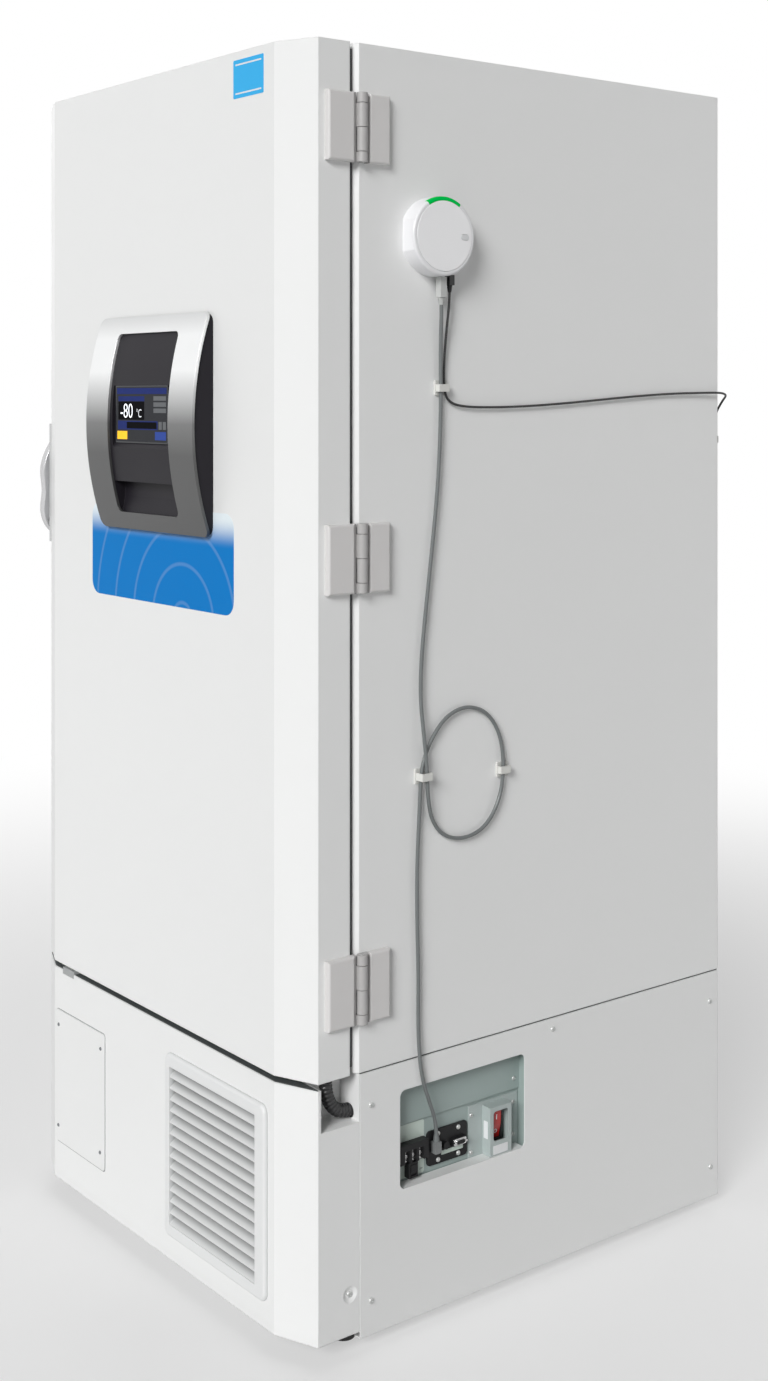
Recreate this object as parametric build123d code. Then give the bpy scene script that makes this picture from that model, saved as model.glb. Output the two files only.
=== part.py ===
from build123d import *
import math
import os

# Upright ultra low temperature freezer, in millimetres.
# Origin on the floor below the middle of the cabinet, +X to the right seen from the front,
# the front faces -Y, +Z is up.

# Overall size
cabinet_width = 850.0
cabinet_depth = 916.0  # door face to back sheet
cabinet_height = 1990.0
base_height = 424.0  # seam between the base and the insulated cabinet
sheet = 1.2
fit_gap = 0.3  # between pieces of different bodies
run_gap = 0.05  # radial clearance of a pin or shaft

# Outer door
door_thickness = 89.5
bevel_width = 72.0
bevel_depth = 30.4
gasket_gap = 10.5  # door's rear face to the cabinet flange
gasket_width = 33.0
gasket_inset = 9.0  # door's edges to the gasket
door_gap = 10.0  # door's lower edge to the base front panel
door_liner_sheet = 2.0
door_liner_rise = 7.0

# Insulated cabinet
wall = 85.0  # outside of the cabinet to the inside of the liner
flange_width = 22.0
edge_bevel = 7.0
strip_thickness = 8.0
liner_sheet = 1.0
liner_corner = 12.0
coil_space = 11.0  # room for the evaporator between liner and foam
tube_thickness = 6.0
tube_width = 12.0
header_thickness = 4.0
tube_pitch = 90.0
shelf_count = 3
shelf_sheet = 2.0
shelf_lip = 16.0
rail_depth = 8.0
rail_width = 24.0
ledge_depth = 9.0
ledge_height = 3.0

# Inner doors
inner_door_thickness = 32.0
inner_door_set_back = 13.0  # cabinet flange to the inner doors' front
inner_door_gap = 5.0
inner_pin_radius = 2.5
inner_pin_length = 12.0
inner_tab = 3.0
pull_width = 26.0
pull_height = 90.0
pull_depth = 9.0

# Door hinges
hinge_height = 106.0
hinge_margin = 77.0  # end of the door to the end of the hinge
hinge_set_back = 6.0  # cabinet flange to the hinge axis
leaf_thickness = 11.0
door_leaf_width = 50.0
cabinet_leaf_width = 40.0
leaf_reach = 14.0  # hinge axis to the raised part of a leaf
leaf_slot = 1.4  # knuckle to the low root of the other leaf
knuckle_gap = 0.8
knuckle_radius = 8.5
knuckle_short = 16.0
hinge_pin_radius = 4.0
leaf_round = 4.0

# Display on the door
display_width = 343.0
display_height = 359.0
display_offset_x = 14.0
display_rise = 201.0  # middle of the door to the middle of the display
display_edge_depth = 10.0
display_mid_depth = 42.0
display_trim = 6.0
bezel_thickness = 5.0
bezel_corner = 14.0
housing_inset = 3.0
opening_width = 196.0
opening_height = 301.0
opening_corner = 11.0
screen_width = 169.0
screen_height = 96.0
screen_rise = 15.0  # middle of the display to the middle of the screen
screen_thickness = 2.0
screen_depth = 31.0  # door face to the back of the screen
screen_margin = 6.0
ledge_slope = 12.0
ledge_depth = 38.0
sill_height = 52.0
scoop_depth = 7.0
scoop_lip = 12.0

# Handle on the door's left side
handle_height = 200.0
handle_rise = 85.0  # middle of the door to the middle of the handle
handle_plate = 12.0
handle_plate_width = 48.0
handle_plate_margin = 10.0
lever_gap = 4.0
lever_thickness = 18.0
lever_reach = 50.0  # pivot axis to the front of the grip
lever_rim = 12.0
lever_pivot_set_back = 43.0  # door's side edge to the pivot axis
lever_pin_radius = 4.0
lever_barrel_radius = 9.0
lever_edge = 2.5
tongue_length = 30.0
tongue_thickness = 6.0
tongue_height = 40.0
strike_gap = 1.0
strike_depth = 16.0
strike_height = 60.0
strike_stand = 30.0
lock_radius = 9.0
lock_length = 8.0
lock_drop = 52.0  # middle of the handle to the lock

# Base
panel_sheet = 1.5
panel_foot = 31.0  # floor to the front panel
side_panel_foot = 20.0
side_panel_proud = 1.0
panel_return = 14.0
seat_radius = 13.0  # dished screw seat in the front panel's side
seat_floor_radius = 7.0
seat_depth = 3.0
seat_set_back = 18.0
seat_rise = 62.0
panel_seam = 2.0
panel_set_back = 8.0  # cabinet flange to the rear edge of the front panel
front_return = 25.0
deck_thickness = 4.0
pan_height = 78.0
pan_thickness = 4.0
post_size = 36.0
post_wall = 3.0
post_inset = 59.0
post_set_back = 13.0

# Air grille and recorder cover on the front panel
grille_left = 42.0
grille_right = 336.0
grille_margin = 41.0  # panel's edges to the grille
grille_corner = 14.0
grille_proud = 7.0
grille_round = 6.0
grille_depth = 10.0
grille_side = 17.0
grille_far_side = 26.0
grille_head = 20.0
grille_sill = 20.0
grille_lap = 10.0
louvre_pitch = 18.6
louvre_sheet = 2.4
louvre_rise = 12.0  # front lip to the rear edge of a blade
louvre_set_back = 2.0
cover_left = -344.0
cover_right = -167.0
cover_sill = 70.0
cover_height = 238.0
cover_thickness = 2.0
cover_corner = 6.0

# Door rest under the door
rest_left = -323.0
rest_right = -281.0
rest_depth = 60.0
rest_notch = 7.0
rest_gap = 5.0

# Conduit from the door into the base
conduit_radius = 10.5
conduit_inset = 24.0  # side face to the conduit's middle
conduit_set_back = 30.0  # front edge of the door's side to the conduit
conduit_drop = 24.0
conduit_turn = 12.0
notch_front = 5.6  # front panel's side edge to the notch
notch_height = 64.0
notch_width = 48.0

# Service recess in the right side panel
window_set_back = 86.0  # cabinet flange to the window
window_width = 260.0
window_head = 46.0  # cabinet seam to the window
window_height = 153.0
window_corner = 10.0
recess_depth = 24.0
recess_lap = 8.0
box_depth = 124.0
box_rim = 18.0
cover_step = 3.0
cover_step_height = 72.0
socket_plate_width = 83.0
socket_plate_height = 55.0
socket_plate_front = 72.0  # window's front edge to the plate
socket_plate_rise = 9.0
socket_plate_thickness = 3.0
socket_radius = 6.0
socket_length = 7.0
terminal_width = 56.0
terminal_height = 30.0
terminal_depth = 14.0
terminal_front = 10.0
terminal_rise = 30.0
terminal_ways = 3
battery_front = 28.0
battery_rise = 5.0
battery_width = 18.0
battery_height = 24.0
guard_front = 159.0
guard_width = 106.0
guard_head = 5.5  # guard's top to the stepped cover above it
guard_sheet = 1.5
guard_lift = 0.5  # recess floor to the guard's lower edge
hat_front = 189.0
hat_width = 46.0
hat_margin = 5.0
hat_window_width = 32.0
hat_window_height = 48.0
hat_window_corner = 5.0
hat_window_drop = 7.5
breaker_width = 26.0
breaker_height = 54.0
breaker_front = 197.0
rocker_frame = 12.0
rocker_wall = 3.0
rocker_clearance = 0.5
rocker_thickness = 5.0
rocker_crown = 2.0
rocker_tilt = 8.0
rocker_pin_radius = 1.5
rocker_pin_length = 2.0

# Refrigeration in the base
condenser_left = 45.0
condenser_right = 300.0
condenser_head = 52.0  # deck to the condenser's top
filter_thickness = 8.0
condenser_depth = 62.0
fin_pitch = 12.0
fin_gap = 6.0
fin_depth = 12.0
shroud_sheet = 4.0
fan_radius = 98.0
fan_hole = 108.0
fan_hub = 26.0
fan_width = 26.0
fan_gap = 6.0
fan_blades = 5
blade_pitch = 28.0
blade_sheet = 2.0
shaft_radius = 4.0
motor_radius = 42.0
motor_length = 58.0
arm_radius = 5.0
arm_ring = 118.0
compressor_radius = 84.0
compressor_height = 236.0
compressor_foot = 176.0
compressor_foot_sheet = 5.0
compressor_places = [(-210.0, 190.0), (20.0, 230.0)]
exchanger_radius = 58.0
exchanger_height = 270.0
exchanger_place = (235.0, 220.0)

# Wheels and feet
wheel_radius = 30.0
wheel_width = 24.0
axle_radius = 5.0
fork_sheet = 3.0
fork_gap = 1.0
fork_crown = 4.0
fork_margin = 10.0
caster_lift = 3.0  # front casters hang clear while the feet carry
caster_trail = 20.0
caster_inset = 135.0
caster_set_back = 18.0
caster_boss = 20.0
stem_radius = 7.0
rear_wheel_set_back = 78.0
foot_inset = 55.0
foot_radius = 18.0
foot_pad = 10.0
foot_stem_radius = 5.0
foot_boss = 12.0
foot_boss_length = 10.0

# Back
rear_panel_foot = 40.0
vent_columns = 2
vent_width = 300.0
vent_height = 8.0
vent_pitch = 18.0
vent_rows = 9
vent_sill = 160.0
gland_radius = 14.0
gland_bore = 6.0
gland_length = 16.0
gland_x = -330.0
gland_z = 110.0
spacer_width = 60.0
spacer_height = 90.0
spacer_reach = 44.0
spacer_sheet = 3.0
spacer_inset = 180.0
spacer_drop = 160.0

# Monitor on the right side
monitor_set_back = 149.0  # cabinet flange to the monitor's middle
monitor_drop = 288.0  # cabinet top to the monitor's middle
monitor_radius = 62.0
monitor_base = 33.0
monitor_round = 4.0
monitor_flat = 5.0
monitor_flat_height = 62.0
monitor_cover_radius = 55.0
monitor_cover_height = 5.0
monitor_cover_sink = 4.4
monitor_cover_edge = 0.5
light_depth = 8.0  # channel for the light in the rim
light_angle = 66.0
button_offset = 41.0
button_width = 16.0
button_height = 9.0
button_cap = 2.6
button_proud = 0.6
button_well = 3.0
button_travel = 0.6
stem_bore_radius = 2.0

# Cables on the right side: each point is its distance off the side face, its distance behind the
# cabinet flange or, past the corner, behind the back sheet, and its drop below the monitor's plug
sensor_radius = 3.1
lead_radius = 2.0
clip_base = 24.0
clip_base_sheet = 3.0
clip_wall = 2.0
clip_band = 12.0
clip_room = 17.0
clip_gap = 0.4
plug_length = 32.0
plug_width = 12.0
lead_plug_width = 10.0
plug_stand = 14.0
sensor_plug_offset = 9.0  # monitor's middle to the plug
lead_plug_offset = 26.0
cable_rest = clip_base_sheet + clip_gap + sensor_radius
lead_rest = clip_base_sheet + clip_gap + lead_radius
loop_rise = cable_rest + 2.0 * sensor_radius + clip_gap  # upper strand where the loop crosses
sensor_drop = 1334.3  # plug under the monitor to the plug in the recess
sensor_route = [
    (13.0, 159.0, 32.8),
    (8.0, 161.5, 72.8),
    (cable_rest, 163.0, 127.8),
    (cable_rest, 163.0, 165.8),
    (cable_rest, 162.0, 217.8),
    (cable_rest, 157.0, 297.8),
    (cable_rest, 146.0, 387.8),
    (cable_rest, 134.0, 477.8),
    (cable_rest, 124.0, 557.8),
    (cable_rest + 1.0, 120.5, 622.8),
    (loop_rise - 1.0, 123.0, 672.8),
    (loop_rise, 127.5, 712.8),
    (loop_rise, 130.0, 746.8),
    (loop_rise - 1.5, 133.0, 782.8),
    (cable_rest + 1.0, 144.0, 819.8),
    (cable_rest, 170.0, 847.8),
    (cable_rest, 212.0, 857.8),
    (cable_rest, 256.0, 845.8),
    (cable_rest, 286.0, 807.8),
    (cable_rest, 296.0, 757.8),
    (cable_rest, 290.0, 703.8),
    (cable_rest, 262.0, 661.8),
    (cable_rest, 218.0, 645.8),
    (cable_rest, 174.0, 657.8),
    (cable_rest, 144.0, 689.8),
    (cable_rest, 127.0, 723.8),
    (cable_rest, 122.0, 757.8),
    (cable_rest, 119.5, 807.8),
    (cable_rest, 115.0, 882.8),
    (cable_rest, 115.0, 967.8),
    (cable_rest, 118.0, 1052.8),
    (cable_rest, 117.0, 1127.8),
    (cable_rest + 1.0, 119.0, 1182.8),
    (cable_rest + 1.0, 126.0, 1222.8),
    (0.0, 145.0, 1259.8),
    (-9.0, 163.0, 1291.8),
]
lead_route = [
    (13.0, 174.0, 17.8),
    (8.0, 172.0, 62.8),
    (lead_rest, 170.5, 102.8),
    (lead_rest, 170.5, 137.8),
    (lead_rest, 175.0, 157.8),
    (lead_rest, 190.0, 167.8),
    (lead_rest, 218.0, 171.8),
    (lead_rest, 268.0, 172.8),
]
lead_run_count = 7  # points of the run back along the side
lead_run_rise = 24.0
lead_corner = [
    (lead_rest + 1.0, -53.0, 148.8),
    (lead_rest + 3.5, -20.0, 148.3),
    (lead_rest + 4.5, 2.0, 148.8),
    (4.0, 20.0, 152.8),
    (-12.0, 27.0, 162.8),
    (-23.0, 22.0, 183.8),
    (-25.5, 13.5, 213.8),
]
lead_hang_top = (-26.5, 9.0, 255.8)  # where the lead starts down the back
lead_hang_foot = 66.0
lead_hang_runs = 22
lead_hang_drift = 76.0
lead_hang_sag = 27.0
lead_floor = [(-116.0, 38.5, 24.0), (-138.0, 41.5, 8.0), (-160.0, 42.5, 4.5), (-178.0, 42.5, 4.5)]
coil_middle_radius = 23.0
coil_section = 9.0
coil_tail = 34.0
adaptor_width = 30.0
adaptor_length = 46.0
adaptor_height = 26.0
adaptor_plug = 18.0
clip_places = [(166.5, 141.8, 1), (126.5, 746.8, 2), (296.0, 757.8, 1)]  # set back, drop, layers of cable
rear_clip_inset = 25.0
rear_clip_drop = 232.8

# Values worked out from the sizes above
side_x = cabinet_width / 2
front_y = -cabinet_depth / 2
back_y = cabinet_depth / 2
flat_x = side_x - bevel_width
side_front_y = front_y + bevel_depth
door_rear_y = front_y + door_thickness
flange_y = door_rear_y + gasket_gap
strip_rear = flange_y + strip_thickness
liner_x = side_x - wall
chamber_z0 = base_height + wall
chamber_z1 = cabinet_height - wall
chamber_back = back_y - wall
chamber_mid = (chamber_z0 + chamber_z1) / 2
door_z0 = base_height
door_z1 = cabinet_height
door_mid = (door_z0 + door_z1) / 2
hinge_x = side_x + knuckle_radius + 2 * fit_gap
hinge_y = flange_y + hinge_set_back
hinge_low = door_z0 + hinge_margin + hinge_height / 2
hinge_high = door_z1 - hinge_margin - hinge_height / 2
hinge_levels = [hinge_low, (hinge_low + hinge_high) / 2, hinge_high]
panel_rear_y = flange_y + panel_set_back
panel_z0 = panel_foot
panel_z1 = base_height - door_gap
conduit_low_z = panel_z1 - notch_height + conduit_radius + run_gap
guard_height = window_height + 2 * recess_lap - cover_step_height - guard_lift - guard_head
hat_height = guard_height - 2 * hat_margin
side_panel_z1 = base_height - panel_seam
deck_z0 = base_height - deck_thickness
frame_x = side_x - panel_return
pan_top = pan_height + pan_thickness
window_front = flange_y + window_set_back
window_rear = window_front + window_width
window_z1 = base_height - window_head
window_z0 = window_z1 - window_height
face_x = side_x - recess_depth
inner_front = flange_y + inner_door_set_back
inner_rear = inner_front + inner_door_thickness
grille_z0 = panel_z0 + grille_margin
grille_z1 = panel_z1 - grille_margin
filter_y = front_y + grille_depth
condenser_y = filter_y + filter_thickness
shroud_y = condenser_y + condenser_depth
fan_y = shroud_y + shroud_sheet + fan_gap
fan_x = (condenser_left + condenser_right) / 2
condenser_z1 = deck_z0 - condenser_head
fan_z = (pan_top + condenser_z1) / 2
wheel_z = wheel_radius + caster_lift
caster_x = side_x - caster_inset
caster_y = flange_y + caster_set_back
axle_y = caster_y + caster_trail
fork_z = wheel_z + wheel_radius + fork_crown
foot_x = side_x - foot_inset
rear_wheel_y = back_y - rear_wheel_set_back
handle_z = door_mid + handle_rise
pivot_x = -(side_x + handle_plate + lever_gap + lever_thickness / 2)
pivot_y = side_front_y + lever_pivot_set_back
lever_z0 = handle_z - handle_height / 2
lever_z1 = handle_z + handle_height / 2
display_x = display_offset_x
display_z = door_mid + display_rise
display_z0 = display_z - display_height / 2
display_z1 = display_z + display_height / 2
screen_z = display_z + screen_rise
monitor_y = flange_y + monitor_set_back
monitor_z = cabinet_height - monitor_drop
sensor_plug_y = monitor_y + sensor_plug_offset
lead_plug_y = monitor_y + lead_plug_offset
plug_rim = math.sqrt(monitor_radius**2 - (sensor_plug_offset - plug_width / 2) ** 2)
plug_top = monitor_z - plug_rim - fit_gap
cable_top = plug_top - plug_length
socket_z = window_z0 + socket_plate_rise + socket_plate_height / 2
cable_stretch = (cable_top - socket_z - plug_width) / sensor_drop

os.makedirs("parts", exist_ok=True)


def save(name, *solids):
    shape = solids[0] if len(solids) == 1 else Compound(children=list(solids))
    export_step(shape, os.path.join("parts", name + ".step"))


def block(x0, x1, y0, y1, z0, z1):
    return Pos((x0 + x1) / 2, (y0 + y1) / 2, (z0 + z1) / 2) * Box(x1 - x0, y1 - y0, z1 - z0)


def rod(start, axis, radius, length):
    place = Plane(origin=start, z_dir=axis)
    return place * Cylinder(radius, length, align=(Align.CENTER, Align.CENTER, Align.MIN))


def upright(points, z0, z1, inset=0.0):
    """A prism on a plan outline, drawn in by inset."""
    outline = make_face(Polyline(*[(x, y, z0) for x, y in points], close=True))
    if inset:
        outline = offset(outline, amount=-inset, kind=Kind.INTERSECTION)
    return extrude(outline, amount=z1 - z0, dir=(0, 0, 1))


def across(points, x0, x1):
    """A prism along X on a side outline of (y, z) points."""
    outline = make_face(Polyline(*[(x0, y, z) for y, z in points], close=True))
    return extrude(outline, amount=x1 - x0, dir=(1, 0, 0))


def on_front(x, z, y):
    return Plane(origin=(x, y, z), x_dir=(1, 0, 0), z_dir=(0, -1, 0))


def on_side(y, z, x):
    return Plane(origin=(x, y, z), x_dir=(0, 1, 0), z_dir=(1, 0, 0))


def rounded_slab(plane, width, height, corner, thickness):
    outline = plane * RectangleRounded(width, height, corner)
    return extrude(outline, amount=thickness, dir=plane.z_dir)


def bow_outline(rear):
    """The plan outline that the door and the front panel share."""
    return [
        (-side_x, rear),
        (-side_x, side_front_y),
        (-flat_x, front_y),
        (flat_x, front_y),
        (side_x, side_front_y),
        (side_x, rear),
    ]


def cabinet_outline():
    return [
        (-side_x, back_y),
        (-side_x, flange_y + edge_bevel),
        (-side_x + edge_bevel, flange_y),
        (side_x - edge_bevel, flange_y),
        (side_x, flange_y + edge_bevel),
        (side_x, back_y),
    ]


def cabinet_pieces():
    inner_top = cabinet_height - sheet
    shell = upright(cabinet_outline(), base_height, cabinet_height)
    shell -= upright(cabinet_outline(), base_height, inner_top, sheet)
    mouth_x = side_x - flange_width
    shell -= block(-mouth_x, mouth_x, flange_y, flange_y + sheet, base_height, cabinet_height - flange_width)
    save("cabinet_shell", shell)

    foam = upright(cabinet_outline(), base_height, inner_top, sheet)
    foam -= block(-side_x, side_x, flange_y, strip_rear, base_height, cabinet_height)
    room = liner_sheet + coil_space
    foam -= block(
        -liner_x - room,
        liner_x + room,
        strip_rear,
        chamber_back + room,
        chamber_z0 - room,
        chamber_z1 + room,
    )
    save("cabinet_foam", foam)

    top = cabinet_height - flange_width
    strips = []
    for side in (-1, 1):
        edges = sorted((side * liner_x, side * mouth_x))
        strips.append(block(edges[0], edges[1], flange_y, strip_rear, base_height, top))
    strips.append(block(-liner_x, liner_x, flange_y, strip_rear, base_height, chamber_z0))
    strips.append(block(-liner_x, liner_x, flange_y, strip_rear, chamber_z1, top))
    save("breaker_strips", *strips)


def chamber_pieces():
    width = 2 * liner_x
    height = chamber_z1 - chamber_z0
    back = chamber_back + liner_sheet
    mouth = on_front(0, chamber_mid, back)
    wrapper = rounded_slab(
        mouth,
        width + 2 * liner_sheet,
        height + 2 * liner_sheet,
        liner_corner + liner_sheet,
        back - strip_rear,
    )
    wrapper -= rounded_slab(mouth, width, height, liner_corner, back - strip_rear)
    rear_sheet = rounded_slab(mouth, width, height, liner_corner, liner_sheet)
    save("inner_liner", wrapper, rear_sheet)

    shelf_step = (chamber_z1 - chamber_z0) / (shelf_count + 1)
    levels = [chamber_z0 + shelf_step * (i + 1) for i in range(shelf_count)]
    shelf_front = inner_rear + 2 * ledge_depth
    shelf_back = chamber_back - ledge_depth
    shelf_x = liner_x - rail_depth - 1.0
    rack = []
    for z in levels:
        shelf = block(-shelf_x, shelf_x, shelf_front, shelf_back, z - shelf_sheet, z)
        shelf += block(-shelf_x, shelf_x, shelf_front, shelf_front + shelf_sheet, z - shelf_lip, z)
        shelf += block(-shelf_x, shelf_x, shelf_back - shelf_sheet, shelf_back, z - shelf_lip, z)
        rack.append(shelf)
    for side in (-1, 1):
        for y in (shelf_front + 3 * rail_width, shelf_back - 4 * rail_width):
            edges = sorted((side * (liner_x - rail_depth), side * liner_x))
            rail = block(edges[0], edges[1], y, y + rail_width, chamber_z0 + liner_corner, chamber_z1 - liner_corner)
            edges = sorted((side * (liner_x - rail_depth - ledge_depth), side * liner_x))
            for z in levels:
                low = z - shelf_sheet - ledge_height
                rail += block(edges[0], edges[1], y, y + rail_width, low, low + ledge_height)
            rack.append(rail)
    save("shelf_rack", *rack)


def evaporator_and_exchanger():
    """Flattened evaporator turns round the liner with a header under them, and the heat exchanger."""
    width = 2 * (liner_x + liner_sheet)
    height = chamber_z1 - chamber_z0 + 2 * liner_sheet
    first = strip_rear + tube_pitch / 2
    turns = int((chamber_back - first) // tube_pitch)
    evaporator = None
    for turn in range(turns):
        place = on_front(0, chamber_mid, first + turn * tube_pitch)
        ring = extrude(
            place * Rectangle(width + 2 * tube_thickness, height + 2 * tube_thickness), amount=tube_width
        )
        ring -= rounded_slab(place, width, height, liner_corner + liner_sheet, tube_width)
        evaporator = ring if evaporator is None else evaporator + ring
    header_top = chamber_z0 - liner_sheet - tube_thickness
    evaporator += block(
        -tube_width,
        tube_width,
        first - tube_width,
        first + (turns - 1) * tube_pitch,
        header_top - header_thickness,
        header_top,
    )
    cx, cy = exchanger_place
    shell = rod((cx, cy, pan_top), (0, 0, 1), exchanger_radius, exchanger_height)
    shell = chamfer(shell.edges().group_by(Axis.Z)[-1], exchanger_radius / 3)
    save("evaporator_and_exchanger", evaporator, shell)


def inner_doors():
    right = liner_x - inner_door_gap
    left = -liner_x + inner_door_gap
    pin_x = liner_x - liner_corner - 2 * inner_pin_radius
    pin_y = inner_front + 2 * inner_pin_radius
    spans = {
        "inner_door_lower": (chamber_z0 + inner_door_gap, chamber_mid - inner_door_gap / 2),
        "inner_door_upper": (chamber_mid + inner_door_gap / 2, chamber_z1 - inner_door_gap),
    }
    for name, (z0, z1) in spans.items():
        panel = block(left, right, inner_front, inner_rear, z0, z1)
        panel = chamfer(panel.edges().filter_by(Axis.Z), inner_pin_radius)
        middle = (z0 + z1) / 2
        pull_x = left + pull_width
        panel -= block(
            pull_x,
            pull_x + pull_width,
            inner_front,
            inner_front + pull_depth,
            middle - pull_height / 2,
            middle + pull_height / 2,
        )
        for z, way in ((z0, 1), (z1, -1)):
            panel -= rod((pin_x, pin_y, z), (0, 0, way), inner_pin_radius + run_gap, inner_pin_length + fit_gap)
        save(name, panel)
    return pin_x, pin_y, spans


def hinge_pins(pin_x, pin_y, spans):
    """The three door hinge pins, and the tabs with pins that carry the inner doors."""
    pins = []
    for z in hinge_levels:
        pins.append(rod((hinge_x, hinge_y, z - hinge_height / 2), (0, 0, 1), hinge_pin_radius, hinge_height))
    tab_back = pin_y + 3 * inner_pin_radius
    tab_front = pin_y - 2 * inner_pin_radius
    lower, upper = spans["inner_door_lower"], spans["inner_door_upper"]
    tab_left = pin_x - 2 * inner_pin_radius
    tab_right = pin_x + 2 * inner_pin_radius
    gap = inner_door_gap - inner_tab
    places = [
        (tab_right, chamber_z0, [(lower[0] - gap, 1, gap)]),
        (
            liner_x,
            chamber_mid - inner_tab / 2,
            [(lower[1] + gap / 2, -1, gap / 2), (upper[0] - gap / 2, 1, gap / 2)],
        ),
        (tab_right, chamber_z1 - inner_tab, [(upper[1] + gap, -1, gap)]),
    ]
    for right, z, ends in places:
        tab = block(tab_left, right, tab_front, tab_back, z, z + inner_tab)
        for start, way, reach in ends:
            tab += rod((pin_x, pin_y, start), (0, 0, way), inner_pin_radius, inner_pin_length + reach)
        pins.append(tab)
    save("hinge_pins", *pins)


def hinge_leaves():
    """Alternating knuckles from the top down: cabinet, door, cabinet, door."""
    knuckle_long = hinge_height / 2 - knuckle_short
    door_leaves = []
    cabinet_leaves = []
    outer = side_x + leaf_thickness
    for z in hinge_levels:
        z0 = z - hinge_height / 2
        z1 = z + hinge_height / 2
        door_rear_edge = hinge_y - leaf_reach
        door_leaf = block(side_x, outer, door_rear_edge - door_leaf_width, door_rear_edge, z0, z1)
        cabinet_front_edge = hinge_y + leaf_reach
        cabinet_leaf = block(side_x, outer, cabinet_front_edge, cabinet_front_edge + cabinet_leaf_width, z0, z1)
        door_leaf = fillet(door_leaf.edges().group_by(Axis.X)[-1], leaf_round)
        cabinet_leaf = fillet(cabinet_leaf.edges().group_by(Axis.X)[-1], leaf_round)
        root_x = outer - leaf_round
        root_y = knuckle_radius + leaf_slot
        door_leaf += block(side_x, root_x, door_rear_edge - leaf_round, hinge_y - root_y, z0, z1)
        cabinet_leaf += block(side_x, root_x, hinge_y + root_y, cabinet_front_edge + leaf_round, z0, z1)
        top = z1
        for owner, length in (
            ("cabinet", knuckle_short),
            ("door", knuckle_long),
            ("cabinet", knuckle_long),
            ("door", knuckle_short),
        ):
            low = top - length + knuckle_gap
            knuckle = rod((hinge_x, hinge_y, low), (0, 0, 1), knuckle_radius, length - knuckle_gap)
            web_x = side_x + 2 * fit_gap
            if owner == "door":
                knuckle += block(web_x, root_x, door_rear_edge - leaf_round, hinge_y, low, top)
            else:
                knuckle += block(web_x, root_x, hinge_y, cabinet_front_edge + leaf_round, low, top)
            bore_start = (hinge_x, hinge_y, low)
            knuckle -= rod(bore_start, (0, 0, 1), hinge_pin_radius + run_gap, length)
            if owner == "door":
                door_leaf += knuckle
            else:
                cabinet_leaf += knuckle
            top -= length
        door_leaves.append(door_leaf)
        cabinet_leaves.append(cabinet_leaf)
    save("door_hinge_leaves", *door_leaves)
    save("cabinet_hinge_leaves", *cabinet_leaves)


def door_pieces():
    skin = upright(bow_outline(door_rear_y), door_z0, door_z1)
    skin -= upright(bow_outline(door_rear_y + 2 * sheet), door_z0 + sheet, door_z1 - sheet, sheet)
    save("door_skin", skin)

    foam_rear = door_rear_y - door_liner_sheet + sheet
    save("door_foam", upright(bow_outline(foam_rear), door_z0 + sheet, door_z1 - sheet, sheet))

    inner_x = side_x - sheet
    ring_x = liner_x + gasket_gap
    ring_z0 = chamber_z0 - gasket_gap
    ring_z1 = chamber_z1 + gasket_gap
    liner = block(
        -inner_x, inner_x, door_rear_y - door_liner_sheet, door_rear_y, door_z0 + sheet, door_z1 - sheet
    )
    pan_x = ring_x - gasket_gap
    raised = block(
        -pan_x,
        pan_x,
        door_rear_y,
        door_rear_y + door_liner_rise,
        ring_z0 + gasket_gap,
        ring_z1 - gasket_gap,
    )
    raised = chamfer(raised.edges().group_by(Axis.Y)[-1], door_liner_rise / 2)
    save("door_liner", liner + raised)

    gasket_rear = flange_y - fit_gap
    outer_x = side_x - gasket_inset
    outer_z0 = door_z0 + gasket_inset
    outer_z1 = door_z1 - gasket_inset
    gasket = block(-outer_x, outer_x, door_rear_y, gasket_rear, outer_z0, outer_z1)
    gasket -= block(
        gasket_width - outer_x,
        outer_x - gasket_width,
        door_rear_y,
        gasket_rear,
        outer_z0 + gasket_width,
        outer_z1 - gasket_width,
    )
    save("door_gasket", gasket)


def arched(width, edge_depth, mid_depth):
    """A blank on the door face, a little oversize, whose front is one arc from bottom to top."""
    half = display_height / 2
    rise = mid_depth - edge_depth
    radius = (half**2 + rise**2) / (2 * rise)
    reach = half + display_trim
    z0 = display_z - reach
    z1 = display_z + reach
    x0 = display_x - width / 2 - display_trim
    front = front_y - mid_depth + radius - math.sqrt(radius**2 - reach**2)
    arc = ThreePointArc((x0, front, z0), (x0, front_y - mid_depth, display_z), (x0, front, z1))
    rest = Polyline((x0, front, z1), (x0, front_y, z1), (x0, front_y, z0), (x0, front, z0))
    return extrude(make_face(arc + rest), amount=width + 2 * display_trim, dir=(1, 0, 0))


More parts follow.
